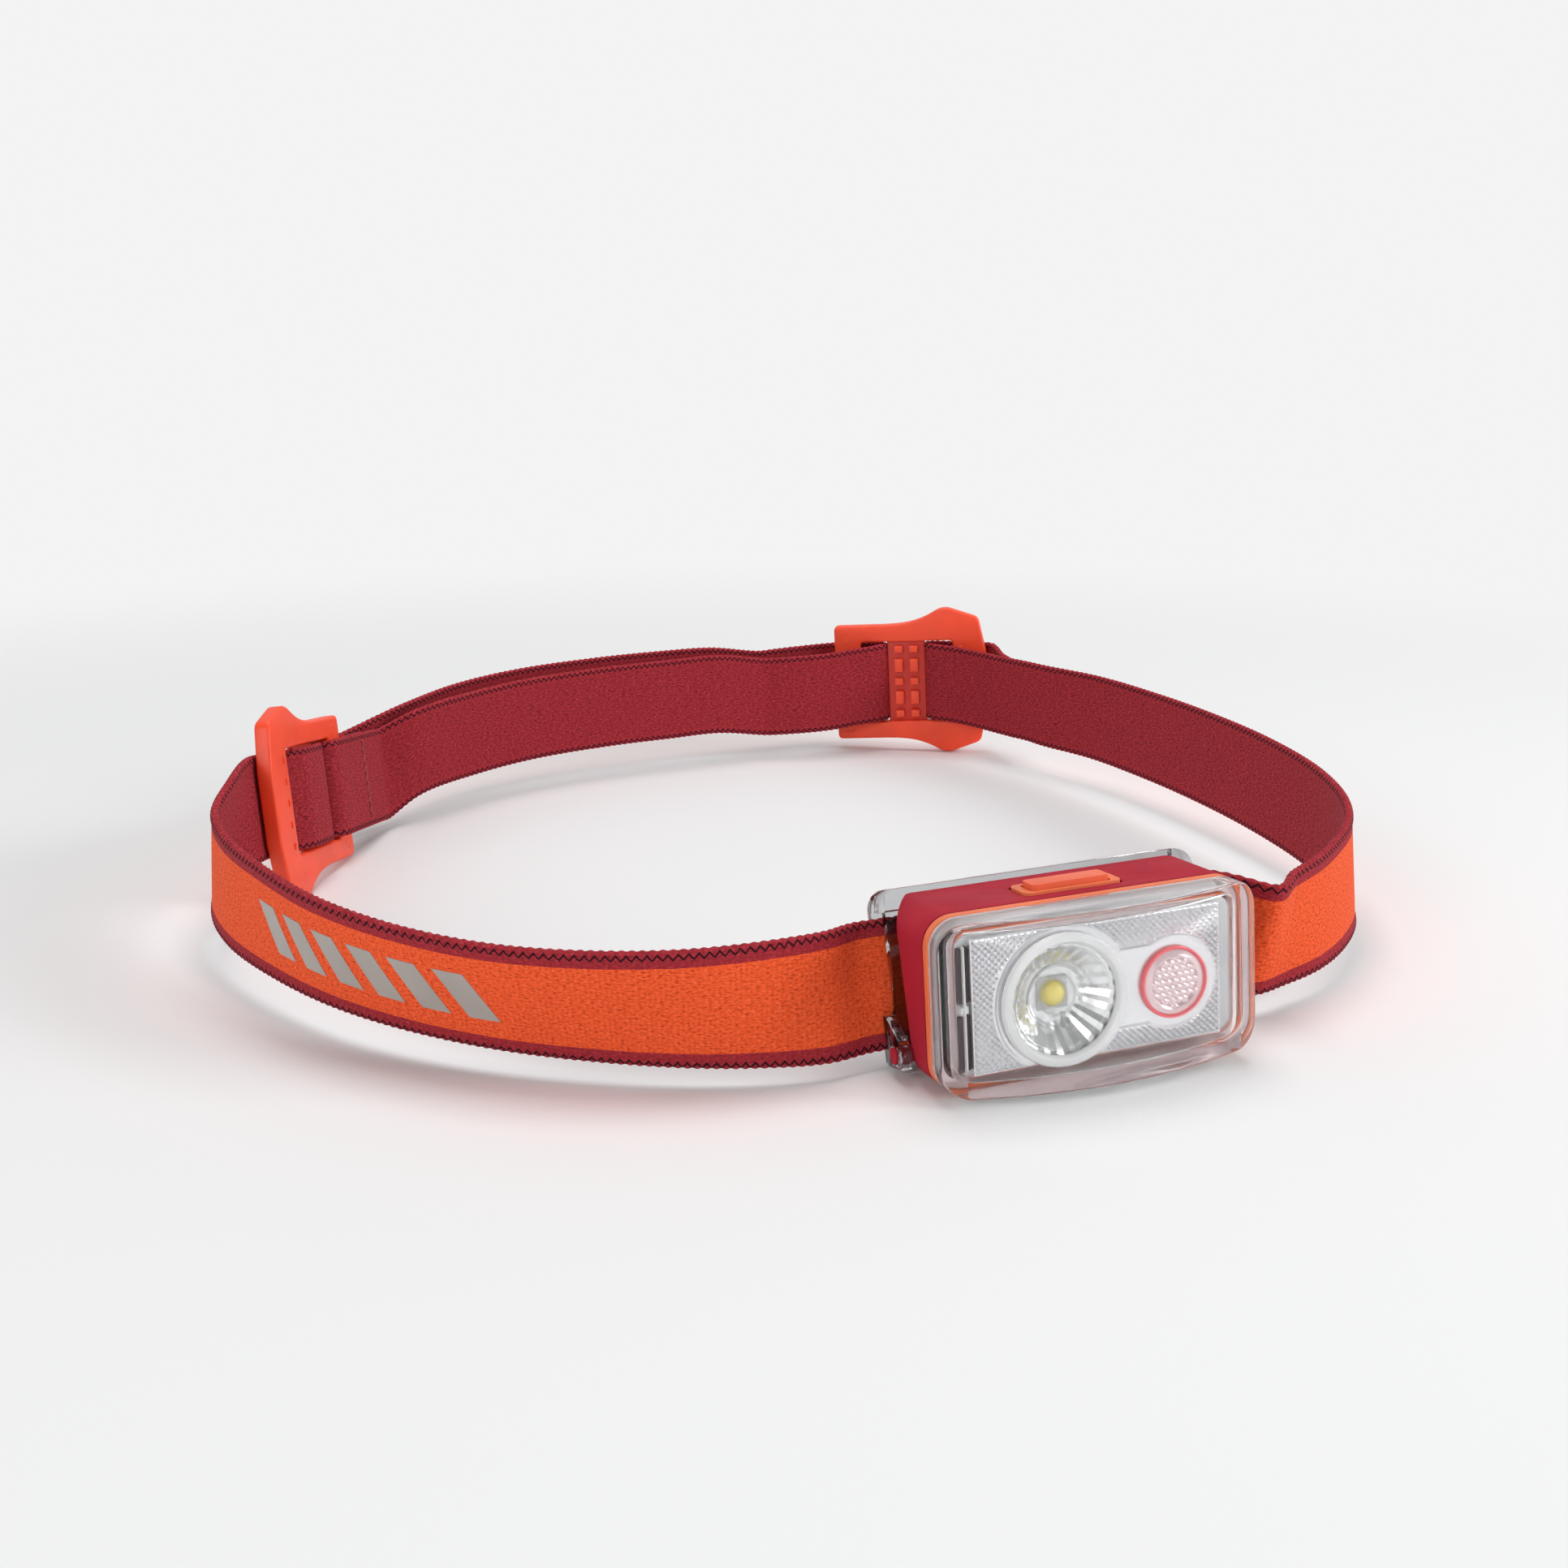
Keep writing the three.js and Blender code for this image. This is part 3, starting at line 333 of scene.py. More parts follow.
def add_piece(name, mesh, body, replaces=(), materials=()):
    piece = bpy.data.objects.new(name, mesh)
    bpy.context.scene.collection.objects.link(piece)
    numbers = [face.material_index for face in mesh.polygons]
    mesh.materials.clear()
    for material in materials:
        mesh.materials.append(material)
    mesh.polygons.foreach_set("material_index", numbers)
    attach(piece, body)
    if replaces:
        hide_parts(*replaces)
    return piece


def mesh_from(name, vertices, faces, matrix=Matrix.Identity(4)):
    mesh = bpy.data.meshes.new(name)
    mesh.from_pydata([tuple(v) for v in vertices], [], faces)
    mesh.transform(matrix)
    return mesh


def smooth(mesh, angle=35):
    mesh.shade_smooth()
    mesh.set_sharp_from_angle(angle=math.radians(angle))


def evaluated(work):
    """Mesh of a work object with its modifiers applied; the object is removed."""
    bpy.context.scene.collection.objects.link(work)
    graph = bpy.context.evaluated_depsgraph_get()
    mesh = bpy.data.meshes.new_from_object(work.evaluated_get(graph))
    bpy.data.objects.remove(work)
    return mesh


def bevelled(mesh, width, segments=3, angle=32):
    """mesh with its sharp edges rounded to width, in metres."""
    piece = bpy.data.objects.new("bevel_work", mesh)
    modifier = piece.modifiers.new("bevel", "BEVEL")
    modifier.width = width
    modifier.segments = segments
    modifier.limit_method = "ANGLE"
    modifier.angle_limit = math.radians(angle)
    modifier.use_clamp_overlap = True
    modifier.miter_outer = "MITER_ARC"
    made = evaluated(piece)
    smooth(made, 40)
    return made


def refine(node, body, material, bevel, segments=3):
    """A CAD node's exact shape with its edges rounded, standing for the node."""
    mesh = frame["nodes"][node].data.copy()
    work = bmesh.new()
    work.from_mesh(mesh)
    bmesh.ops.remove_doubles(work, verts=work.verts, dist=2e-6)
    bmesh.ops.dissolve_limit(work, angle_limit=math.radians(0.6), verts=work.verts, edges=work.edges)
    bmesh.ops.recalc_face_normals(work, faces=work.faces)
    work.to_mesh(mesh)
    work.free()
    made = bevelled(mesh, bevel * MM, segments)
    return add_piece(node + "_finished", made, body, [node], [material])


def plate(outline, hole, thickness, bevel):
    """Flat plate in the x-y plane with rounded edges, in millimetres, centred on z = 0."""
    curve = bpy.data.curves.new("plate_work", "CURVE")
    curve.dimensions = "2D"
    curve.fill_mode = "BOTH"
    curve.extrude = thickness / 2 - bevel
    curve.bevel_depth = bevel
    curve.bevel_resolution = 3
    curve.offset = -bevel
    for points in (outline, hole):
        spline = curve.splines.new("POLY")
        spline.points.add(len(points) - 1)
        spline.use_cyclic_u = True
        for point, (x, y) in zip(spline.points, points):
            point.co = (x, y, 0, 1)
    mesh = evaluated(bpy.data.objects.new("plate_work", curve))
    work = bmesh.new()
    work.from_mesh(mesh)
    bmesh.ops.remove_doubles(work, verts=work.verts, dist=1e-4)
    work.to_mesh(mesh)
    work.free()
    return mesh


def block(low, high, bevel, segments=3):
    """Box with rounded edges, in millimetres."""
    work = bmesh.new()
    bmesh.ops.create_cube(work, size=1)
    size = [h - l for l, h in zip(low, high)]
    middle = [(h + l) / 2 for l, h in zip(low, high)]
    bmesh.ops.scale(work, vec=size, verts=work.verts)
    bmesh.ops.translate(work, vec=middle, verts=work.verts)
    bmesh.ops.bevel(work, geom=work.edges, offset=bevel, segments=segments, affect="EDGES", profile=0.5)
    mesh = bpy.data.meshes.new("block")
    work.to_mesh(mesh)
    work.free()
    return mesh


def round_rect(width, height, radius, steps=8):
    """Outline of a rectangle with round corners, centred on the origin."""
    points = []
    for quarter, (sx, sy) in enumerate([(1, 1), (-1, 1), (-1, -1), (1, -1)]):
        centre = (sx * (width / 2 - radius), sy * (height / 2 - radius))
        for i in range(steps + 1):
            angle = math.pi / 2 * (quarter + i / steps)
            points.append((centre[0] + radius * math.cos(angle), centre[1] + radius * math.sin(angle)))
    return points


def upright_plate(outline, hole, near, far, bevel):
    """Plate in the lamp's x-z plane between two depths."""
    mesh = plate(outline, hole, far - near, bevel)
    mesh.transform(Matrix.Translation((0, (near + far) / 2, 0)) @ Matrix.Rotation(math.pi / 2, 4, "X"))
    return mesh


def ring_faces(rings, sides, closed=False):
    """Four-sided faces that join each ring of points to the next one."""
    faces = []
    for ring in range(rings if closed else rings - 1):
        start, after = ring * sides, (ring + 1) % rings * sides
        for k in range(sides):
            j = (k + 1) % sides
            faces.append((start + k, start + j, after + j, after + k))
    return faces


def turned(profile, sides, centre=(0, 0), pleat=0.0):
    """Body turned about lamp Y through centre; profile is [radius, y], and pleat folds it in and out."""
    vertices = []
    for radius, y in profile:
        for k in range(sides):
            angle = 2 * math.pi * k / sides
            r = radius * (1 + pleat * (k % 2))
            vertices.append((centre[0] + r * math.cos(angle), y, centre[1] + r * math.sin(angle)))
    return vertices, ring_faces(len(profile), sides, True)


def joined(meshes, matrix=Matrix.Identity(4)):
    """One mesh made of several, which are used up."""
    work = bmesh.new()
    for mesh in meshes:
        work.from_mesh(mesh)
        bpy.data.meshes.remove(mesh)
    bmesh.ops.recalc_face_normals(work, faces=work.faces)
    mesh = bpy.data.meshes.new("joined")
    work.to_mesh(mesh)
    work.free()
    mesh.transform(matrix)
    return mesh


def relief(low, high, step, face, depth, height, keep):
    """Plate facing -Y whose front carries height(x, z), kept only where keep(x, z) holds."""
    nx, nz = (max(1, round((high[k] - low[k]) / step)) for k in (0, 1))
    kept = {(i, k) for i in range(nx) for k in range(nz)
            if keep(low[0] + (i + 0.5) * step, low[1] + (k + 0.5) * step)}
    vertices, index, faces = [], {}, []

    def vertex(i, k, back):
        key = (i, k, back)
        if key not in index:
            x, z = low[0] + i * step, low[1] + k * step
            index[key] = len(vertices)
            vertices.append((x, face + depth if back else face - height(x, z), z))
        return index[key]

    for i, k in sorted(kept):
        corners = [(i, k), (i + 1, k), (i + 1, k + 1), (i, k + 1)]
        a, b, c, d = (vertex(*corner, False) for corner in corners)
        if abs(vertices[a][1] - vertices[c][1]) < abs(vertices[b][1] - vertices[d][1]):
            faces.extend([(a, b, c), (a, c, d)])
        else:
            faces.extend([(a, b, d), (b, c, d)])
        faces.append([vertex(*c, True) for c in reversed(corners)])
        for side, (di, dk) in enumerate([(0, -1), (1, 0), (0, 1), (-1, 0)]):
            if (i + di, k + dk) not in kept:
                p, q = corners[side], corners[(side + 1) % 4]
                faces.append([vertex(*q, False), vertex(*p, False), vertex(*p, True), vertex(*q, True)])
    return vertices, faces

# -------------------- webbing


def spline(points, steps=24):
    """Centripetal Catmull-Rom curve through the rows of points, as a dense polyline."""
    points = np.array(points, float)
    points = np.vstack([2 * points[0] - points[1], points, 2 * points[-1] - points[-2]])
    centre = (points[:, :3] + points[:, 3:]) / 2
    gaps = np.sqrt(np.linalg.norm(np.diff(centre, axis=0), axis=1))
    out = []
    for i in range(1, len(points) - 2):
        p0, p1, p2, p3 = points[i - 1:i + 3]
        d0, d1, d2 = gaps[i - 1:i + 2]
        m1 = d1 * ((p1 - p0) / d0 - (p2 - p0) / (d0 + d1) + (p2 - p1) / d1)
        m2 = d1 * ((p2 - p1) / d1 - (p3 - p1) / (d1 + d2) + (p3 - p2) / d2)
        for t in np.arange(steps) / steps:
            out.append((2 * t**3 - 3 * t**2 + 1) * p1 + (t**3 - 2 * t**2 + t) * m1
                       + (3 * t**2 - 2 * t**3) * p2 + (t**3 - t**2) * m2)
    out.append(points[-2])
    return np.array(out)


def even(line, step):
    """The polyline resampled every step of length along its middle, with that length."""
    centre = (line[:, :3] + line[:, 3:]) / 2
    length = np.concatenate([[0], np.cumsum(np.linalg.norm(np.diff(centre, axis=0), axis=1))])
    at = np.linspace(0, length[-1], max(2, round(length[-1] / step) + 1))
    return np.column_stack([np.interp(at, length, line[:, k]) for k in range(6)]), at


# Cross-section of the webbing: how far across, and half its thickness there. The rims are thicker knit.
SECTION = [(-9.95, 0.12), (-9.8, 0.5), (-9.4, 0.72), (-8.9, 0.74), (-8.3, 0.62), (-7.2, 0.6), (-4.8, 0.62),
           (-1.6, 0.63), (1.6, 0.63), (4.8, 0.62), (7.2, 0.6), (8.3, 0.62), (8.9, 0.74), (9.4, 0.72),
           (9.8, 0.5), (9.95, 0.12)]
STEP = 0.29  # length between rows of the mesh
STITCH = 1.45  # pitch of the stitches along the rims
SCALLOP = 0.09  # how far the stitches draw a rim in and out
RIM, TIP = 8.6, 9.7  # distances across where the thick rim and its outer edge start


class Webbing:
    """A run of webbing through stations, each a lower and an upper edge point."""

    def __init__(self, stations, start=0.0):
        rows = [[*bottom, *top] for bottom, top in stations]
        self.line, self.at = even(spline(np.array(rows) / MM), STEP)
        self.length = self.at[-1]
        low, high = self.line[:, :3], self.line[:, 3:]
        self.centre = (low + high) / 2
        across = high - low
        self.across = across / np.linalg.norm(across, axis=1)[:, None]
        along = np.gradient(self.centre, axis=0)
        normal = np.cross(self.across, along)
        self.normal = normal / np.linalg.norm(normal, axis=1)[:, None]
        self.start = start

    def mesh(self, name):
        """Closed mesh: material 0 on the side that the normal leaves, material 1 on the other."""
        loop = [(v, t) for v, t in SECTION] + [(v, -t) for v, t in reversed(SECTION)]
        count, rows = len(loop), len(self.at)
        scallop = SCALLOP * np.cos(2 * math.pi * (self.at + self.start) / STITCH)
        plain = np.zeros(rows)
        vertices = np.zeros((rows, count, 3))
        for k, (v, t) in enumerate(loop):
            spread = v + math.copysign(1, v) * (scallop if abs(v) > TIP else plain)
            thick = t * (1 + 0.9 * (scallop if abs(v) > RIM else plain))
            vertices[:, k] = self.centre + self.across * spread[:, None] + self.normal * thick[:, None]
        half = len(SECTION)
        faces = ring_faces(rows, count)
        slots = [0 if k < half - 1 or k == count - 1 else 1 for k in range(count)] * (rows - 1)
        faces += [tuple(range(count)), tuple(reversed(range((rows - 1) * count, rows * count)))]
        slots += [1, 1]
        uvs = []
        for corner in (corner for face in faces for corner in face):
            row, point = divmod(corner, count)
            uvs.append(((self.at[row] + self.start) / STRAP_WIDTH, loop[point][0] / STRAP_WIDTH + 0.5))
        mesh = mesh_from(name, vertices.reshape(-1, 3), faces, Matrix.Scale(MM, 4))
        layer = mesh.uv_layers.new(name="UVMap")
        layer.data.foreach_set("uv", np.array(uvs, np.float32).ravel())
        mesh.polygons.foreach_set("material_index", slots)
        work = bmesh.new()
        work.from_mesh(mesh)
        bmesh.ops.recalc_face_normals(work, faces=work.faces)
        work.to_mesh(mesh)
        work.free()
        mesh.shade_smooth()
        return mesh

    def point(self, length, across, lift):
        """Point on the material 0 side: a length along, a distance across and a height above the middle."""
        values = [np.array([np.interp(length, self.at, data[:, k]) for k in range(3)])
                  for data in (self.centre, self.across, self.normal)]
        return values[0] + values[1] * across + values[2] * lift


def station(bottom, up):
    """Both edge points of the webbing, from its lower edge and the direction across it."""
    return bottom, bottom + up * STRAP_WIDTH * MM


def free(rows):
    """Stations from [x, y, height of the lower edge, outward lean in degrees], walked clockwise."""
    stations = []
    for i, (x, y, z, lean) in enumerate(rows):
        before, after = rows[max(i - 1, 0)], rows[min(i + 1, len(rows) - 1)]
        along = Vector((after[0] - before[0], after[1] - before[1], 0)).normalized()
        outward = Vector((-along.y, along.x, 0))
        up = Vector((0, 0, math.cos(math.radians(lean)))) + outward * math.sin(math.radians(lean))
        stations.append(station(GROUND @ Vector((x, y, z)), up))
    return stations


def within(matrix, up, points):
    """Stations in a buckle or the bracket, from x, depth and, where given, how far the webbing sinks."""
    direction = (matrix.to_3x3() @ Vector(up)).normalized()
    stations = []
    for x, depth, *sink in points:
        place = (x, depth, 0) if up[2] else (x, 0, depth)
        fall = STRAP_HALF + sum(sink)
        stations.append(station(matrix @ Vector(place) - direction * fall * MM, direction))
    return stations


def in_slider(*points):
    return within(SLIDER, (0, -1, 0), points)


def in_rear(*points):
    return within(REAR, (0, 1, 0), points)


def in_bracket(*places):
    plate_thickness, half_webbing = 1.4, 0.7
    depth = plate_thickness + GAP + half_webbing
    return within(HOLDER, (0, 0, 1), [(x, depth) for x in places])


def around(x, start, end):
    """Points of webbing that turns round a bar whose edge is at x, from one depth to another."""
    return [(x - 1.4, start), (x + 0.7, 0.87 * start), (x + 2, 0.45 * start), (x + 2.3, 0),
            (x + 2, 0.45 * end), (x + 0.7, 0.87 * end), (x - 1.4, end)]


BRACKET_STATIONS = (-30.5, -24, -12, 0)
LEFT_FREE = [(-37, 11.6, 2.5, -11), (-46, 12.6, 2.7, 0), (-57.5, 16.3, 2.9, 10), (-70, 22.3, 3.3, 16),
             (-82, 30, 3.7, 18), (-93.5, 40.2, 4.2, 16), (-104, 53, 4.8, 11), (-112.5, 69, 5.4, 4),
             (-118.4, 86, 6, -1), (-120, 100, 7.2, -4), (-117.6, 111.5, 9.3, -7)]
RIGHT_FREE = [(77.9, 166.4, 7.6, 0), (82.8, 151, 7.5, -3), (85.6, 130, 7.2, -5), (86.5, 110, 6.9, -6),
              (86, 88, 6.4, -6), (83.7, 66, 5.6, -3), (79, 48, 4.9, 2), (72, 34.5, 4.5, 6),
              (62.5, 24.5, 4.2, 7), (53, 18, 3.9, 4), (44, 14.6, 3.6, -2), (37, 12.6, 3.5, -10)]
OUTER_FREE = [(-73, 182.5, 5.8, 2), (-58, 195.5, 7, 3), (-42, 203.6, 7.8, 3), (-22, 208.8, 8.3, 2),
              (-6, 211.6, 8.4, 1), (8, 213.4, 8.2, 0)]
INNER_FREE = [(-72, 177.6, 5.6, 2), (-57, 189.4, 6.4, 3), (-41, 197.4, 7, 3), (-22, 202.6, 7.3, 2),
              (-6, 205, 7.4, 1), (8, 206.4, 7.5, 0)]
SLOT_POINT = (11.8, 0.3)  # where the webbing crosses the slider's far slot, out of sight
TURN_POINT = (13.0, 0)  # where it turns in the back buckle's slot


def make_straps():
    """The strap in four lengths that meet out of sight."""
    left = Webbing(
        in_bracket(*reversed(BRACKET_STATIONS)) + free(LEFT_FREE)
        + in_slider((38.8, -2.8), (31.6, -2.7), (29.9, -2.5), (28.8, -1.7), (25, 0.9), (23.2, 1.75),
                    (20, 2.05), (16, 2.05), (13.2, 1.7), SLOT_POINT))
    outer = Webbing(
        in_slider(SLOT_POINT, (11.1, -1.6), (9.4, -3.6), (6.4, -4.4), (1, -4.4), (-7, -4), (-12, -3.6))
        + free(OUTER_FREE)
        + in_rear((-19, 6.6), (-15.3, 4.55), (-10.4, 1.8), (-5, -0.9), (0, -ON_BAR), (5, -ON_BAR),
                  (9.4, -2.75), (11.9, -1.7), TURN_POINT), left.length)
    inner = Webbing(
        in_rear(TURN_POINT, (12.1, 1.6), (9.8, 3.6, 0.1), (5, 5.6, 0.4), (0, 8.4, 0.7), (-6, 10.9, 0.8),
                (-13, 12.6, 0.8), (-17, 13.4, 0.7))
        + free(INNER_FREE[::-1])
        + in_slider((-20, 3.1), (-16, 2.9), (-8, 2.8), (0, ON_BAR),
                    *around(END_BAR, ON_BAR, -ON_BAR), (0, -ON_BAR), (-5, -0.7), (-9, 0.8),
                    (-14, 1)), outer.length)
    right = Webbing(
        in_bracket(*[-x for x in reversed(BRACKET_STATIONS)]) + free(RIGHT_FREE[::-1])
        + in_rear((49, 19.2, 2.1), (46, 16.2, 2), (42, 12.2, 1.8), (36, 6.8, 1.3), (30.4, 3.5, 0.7),
                  (25.1, 1.6, 0.2), (23.6, -0.4), (25.7, -2.4, 0.2), (30.4, -ON_BAR, 0.5),
                  (37.6, -2.75, 0.9), (40, -1.9, 1.1), (41.3, 1, 1.5), (42.8, 6.5, 2.2), (45.4, 12, 2.8)))
    both = [WEBBING_FACE, WEBBING_BACK]
    pieces = {
        "webbing_front_left": (left, ["strap_left", "strap_stretch_front", "strap_weave"], both),
        "webbing_back_outer": (outer, ["strap_outer", "strap_stretch_outer"], both),
        "webbing_back_inner": (inner, ["strap_inner", "strap_stretch_inner", "strap_turn", "strap_fold_side"],
                               [WEBBING_BACK, WEBBING_BACK]),
        "webbing_right": (right, ["strap_right", "strap_brow", "strap_fold_rear"], both[::-1]),
    }
    made = {}
    for name, (run, nodes, materials) in pieces.items():
        made[name] = add_piece(name, run.mesh(name), "root", nodes, materials)
    return left, inner, made


def blend_strap(name):
    """Takes a length of strap off its parent and bakes where it stands into its mesh, so that it has no
    parent.
    """
    piece = STRAPS[name]
    piece.parent = None
    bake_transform(piece)


LEFT_RUN, INNER_RUN, STRAPS = make_straps()
blend_strap("webbing_front_left")
blend_strap("webbing_back_outer")
blend_strap("webbing_back_inner")

# -------------------- buckles


def curve_points(start, parts, steps=10):
    """Outline from a start point and parts: ("line", point) or ("cubic", a, b, point)."""
    points, here = [start], start
    for kind, *rest in parts:
        if kind == "line":
            points.append(rest[0])
        else:
            a, b, end = rest
            for i in range(1, steps + 1):
                t = i / steps
                w = ((1 - t)**3, 3 * t * (1 - t)**2, 3 * t * t * (1 - t), t**3)
                points.append(tuple(w[0] * here[k] + w[1] * a[k] + w[2] * b[k] + w[3] * end[k]
                                    for k in (0, 1)))
        here = points[-1]
    return points


def rounded(points, radius, steps=5):
    """The polygon with its sharp corners rounded."""
    out = []
    count = len(points)
    for i, corner in enumerate(points):
        corner = Vector(corner)
        before, after = Vector(points[i - 1]), Vector(points[(i + 1) % count])
        into, away = before - corner, after - corner
        if into.angle(away, math.pi) > math.radians(165):
            out.append(tuple(corner))
            continue
        reach = min(radius, into.length * 0.45, away.length * 0.45)
        a, b = corner + into.normalized() * reach, corner + away.normalized() * reach
        for k in range(steps + 1):
            t = k / steps
            out.append(tuple(a * (1 - t)**2 + corner * 2 * t * (1 - t) + b * t * t))
    return out


def half_outline():
    """Upper half of the buckle's outline, from the arm end to the bulge end."""
    return curve_points((0.05, 0), [("line", (0.05, 14.75)), ("line", (12, 14.75)),
                                    ("cubic", (18, 14.75), (21.5, 15.3), (25.6, 17.7)),
                                    ("cubic", (27.2, 18.65), (28.6, 18.95), (30.2, 18.35)),
                                    ("line", (36.9, 16)), ("line", (38.75, 7)), ("line", (38.75, 0))])[1:-1]


def make_buckle(name, node, matrix, body):
    """Buckle with its centre bar, the pads on its bars and the marks of its mould; the centre bar is darker
    orange, partly for its thinner plastic and partly as painted shade in its recess.
    """
    upper = half_outline()
    outline = rounded(upper + [(x, -y) for x, y in reversed(upper)], 1.3)
    slot_left, slot_right, slot_half = END_BAR + 0.1, BULGE_BAR - 0.1, 10.4
    corners = [(slot_left, -slot_half), (slot_right, -slot_half), (slot_right, slot_half),
               (slot_left, slot_half)]
    shapes = [plate(outline, rounded(corners, 1.1), 3.15, 0.55)]
    bar_middle, bar_half, pad_pitch = 18.3, 4.85, 4.2
    bar = [block((bar_middle - bar_half, -11.2, -1.2), (bar_middle + bar_half, 11.2, 0.3), 0.35)]
    for row in range(-2, 3):
        y = row * pad_pitch
        tall = 0.9 if row % 2 == 0 else 1.7
        for side in (-1, 1):
            x = bar_middle + side * 1.95
            shapes.append(block((x - 1.05, y - tall, 0.1), (x + 1.05, y + tall, 1.5), 0.22, 2))
        shapes.append(block((31.8, y - 0.7, 1.2), (32.6, y + 0.7, 1.85), 0.2, 2))
    ejector = turned([(1.15, 0), (1.3, 0.09), (1.45, 0)], 28)
    for side in (-1, 1):
        place = Matrix.Translation((3.3, side * -11.6, 1.55)) @ Matrix.Rotation(math.pi / 2, 4, "X")
        shapes.append(mesh_from("ejector", *ejector, place))
    for side in (-1, 1):
        shapes.append(block((33.6, side * 8 - 2.2, -1.75), (36.4, side * 8 + 2.2, -1.0), 0.3, 2))
    # The centre bar gets the darker orange, partly painted shade of its recess.
    for part, made, material, nodes in (("", shapes, BUCKLE_ORANGE, [node]), ("_bar", bar, BUCKLE_BAR_SHADED, [])):
        mesh = joined(made, matrix)
        smooth(mesh, 38)
        add_piece(name + part, mesh, body, nodes, [material])


make_buckle("back_buckle", "buckle_rear", REAR, "root")
make_buckle("size_slider", "buckle_side", SLIDER, "side_slider")

# -------------------- stitches and print


def thread(start, end, rise, radius=0.17, sides=8, steps=8):
    """A short arched stitch between two points, in millimetres."""
    start, end, rise = Vector(start), Vector(end), Vector(rise)
    along = (end - start).normalized()
    side = along.cross(rise).normalized()
    lift = side.cross(along).normalized()
    vertices = []
    for i in range(steps + 1):
        t = i / steps
        centre = start.lerp(end, t) + rise * math.sin(math.pi * t)
        size = radius * (0.55 + 0.45 * math.sin(math.pi * t))
        for k in range(sides):
            angle = 2 * math.pi * k / sides
            vertices.append(centre + (side * math.cos(angle) + lift * math.sin(angle)) * size)
    ends = [tuple(range(sides)), tuple(reversed(range(steps * sides, (steps + 1) * sides)))]
    return vertices, ring_faces(steps + 1, sides) + ends


def stitch_row(name, run, length, body):
    """A row of zigzag stitches across the webbing at a distance along its run."""
    meshes = []
    count, margin, surface, crest = 16, 1.2, 0.6, 0.78
    reach = (STRAP_WIDTH - 2 * margin) / count
    for i in range(count):
        low = -STRAP_HALF + margin + i * reach
        zig = 0.55 if i % 2 else -0.55
        a = run.point(length - zig, low, surface)
        b = run.point(length + zig, low + reach, surface)
        rise = run.point(length, 0, crest) - run.point(length, 0, surface)
        meshes.append(mesh_from("stitch", *thread(a, b, rise), Matrix.Scale(MM, 4)))
    mesh = joined(meshes)
    mesh.shade_smooth()
    add_piece(name, mesh, body, (), [THREAD])


def printed_bars():
    """Plain slanted reflective bars printed on the strap's left front."""
    meshes = []
    width, gap, slant, half = 5.2, 3.2, 2.4, 4.0
    start, rows, columns = 90, 9, 7

    def at(i, k, layer):
        return 2 * (i * columns + k) + layer

    for bar in range(6):
        vertices, faces = [], []
        for i in range(rows):
            for k in range(columns):
                across = -half + 2 * half * i / (rows - 1)
                length = start + bar * (width + gap) + width * k / (columns - 1) + slant * across / half
                for lift in (0.6, 0.7):
                    vertices.append(LEFT_RUN.point(length, across, lift))
        for i in range(rows - 1):
            for k in range(columns - 1):
                faces.append((at(i, k, 1), at(i, k + 1, 1), at(i + 1, k + 1, 1), at(i + 1, k, 1)))
                faces.append((at(i, k, 0), at(i + 1, k, 0), at(i + 1, k + 1, 0), at(i, k + 1, 0)))
        border = ([(0, k) for k in range(columns)] + [(i, columns - 1) for i in range(1, rows)]
                  + [(rows - 1, k) for k in range(columns - 2, -1, -1)]
                  + [(i, 0) for i in range(rows - 2, 0, -1)])
        for a, b in zip(border, border[1:] + border[:1]):
            faces.append((at(*a, 0), at(*b, 0), at(*b, 1), at(*a, 1)))
        meshes.append(mesh_from("bar", vertices, faces, Matrix.Scale(MM, 4)))
    mesh = joined(meshes)
    smooth(mesh, 40)
    add_piece("printed_bars", mesh, "root", (), [REFLECTIVE])


printed_bars()
FOLD_LENGTH = 43  # from the row of stitches to the webbing's end, round the slider's end bar
stitch_row("fold_stitches", INNER_RUN, INNER_RUN.length - FOLD_LENGTH, "side_slider")

# -------------------- lamp body

refine("housing", "lamp", HOUSING_RED, 0.4)
refine("rear_cover", "lamp", HOUSING_RED, 0.25)
cover = refine("lens_cover", "lamp", COVER_CLEAR, 0.7, 4)
cover.data.materials.append(WINDOW_CLEAR)
window_half = Vector((21.5, 9.9))
for face in cover.data.polygons:
    middle = LAMP.inverted() @ face.center
    if abs(middle.x) < window_half.x and abs(middle.z) < window_half.y:
        face.material_index = 1
refine("bracket", "root", BRACKET_CLEAR, 0.3)
refine("button_bezel", "lamp", SEAL_ORANGE, 0.25)
refine("power_button", "button", BUTTON_ORANGE, 0.4)
refine("port_cover", "port_flap", FLAP_RED, 0.25)
refine("light_frame", "lamp", PALE_FRAME, 0.3)
refine("main_lens_ring", "lamp", FROSTED, 0.15)
for number in range(1, 5):
    refine(f"rear_screw_{number}", "lamp", STEEL, 0.1, 2)

for node, material in {
        "battery": CELL, "battery_pad": FOAM, "charge_socket": STEEL, "led_board": BOARD, "red_led": LED_RED,
        "switch_body": STEEL, "switch_plunger": WIRE_BLACK, "battery_lead_positive": WIRE_RED,
        "battery_lead_negative": WIRE_BLACK}.items():
    frame["nodes"][node].data.materials.clear()
    frame["nodes"][node].data.materials.append(material)

# -------------------- optics

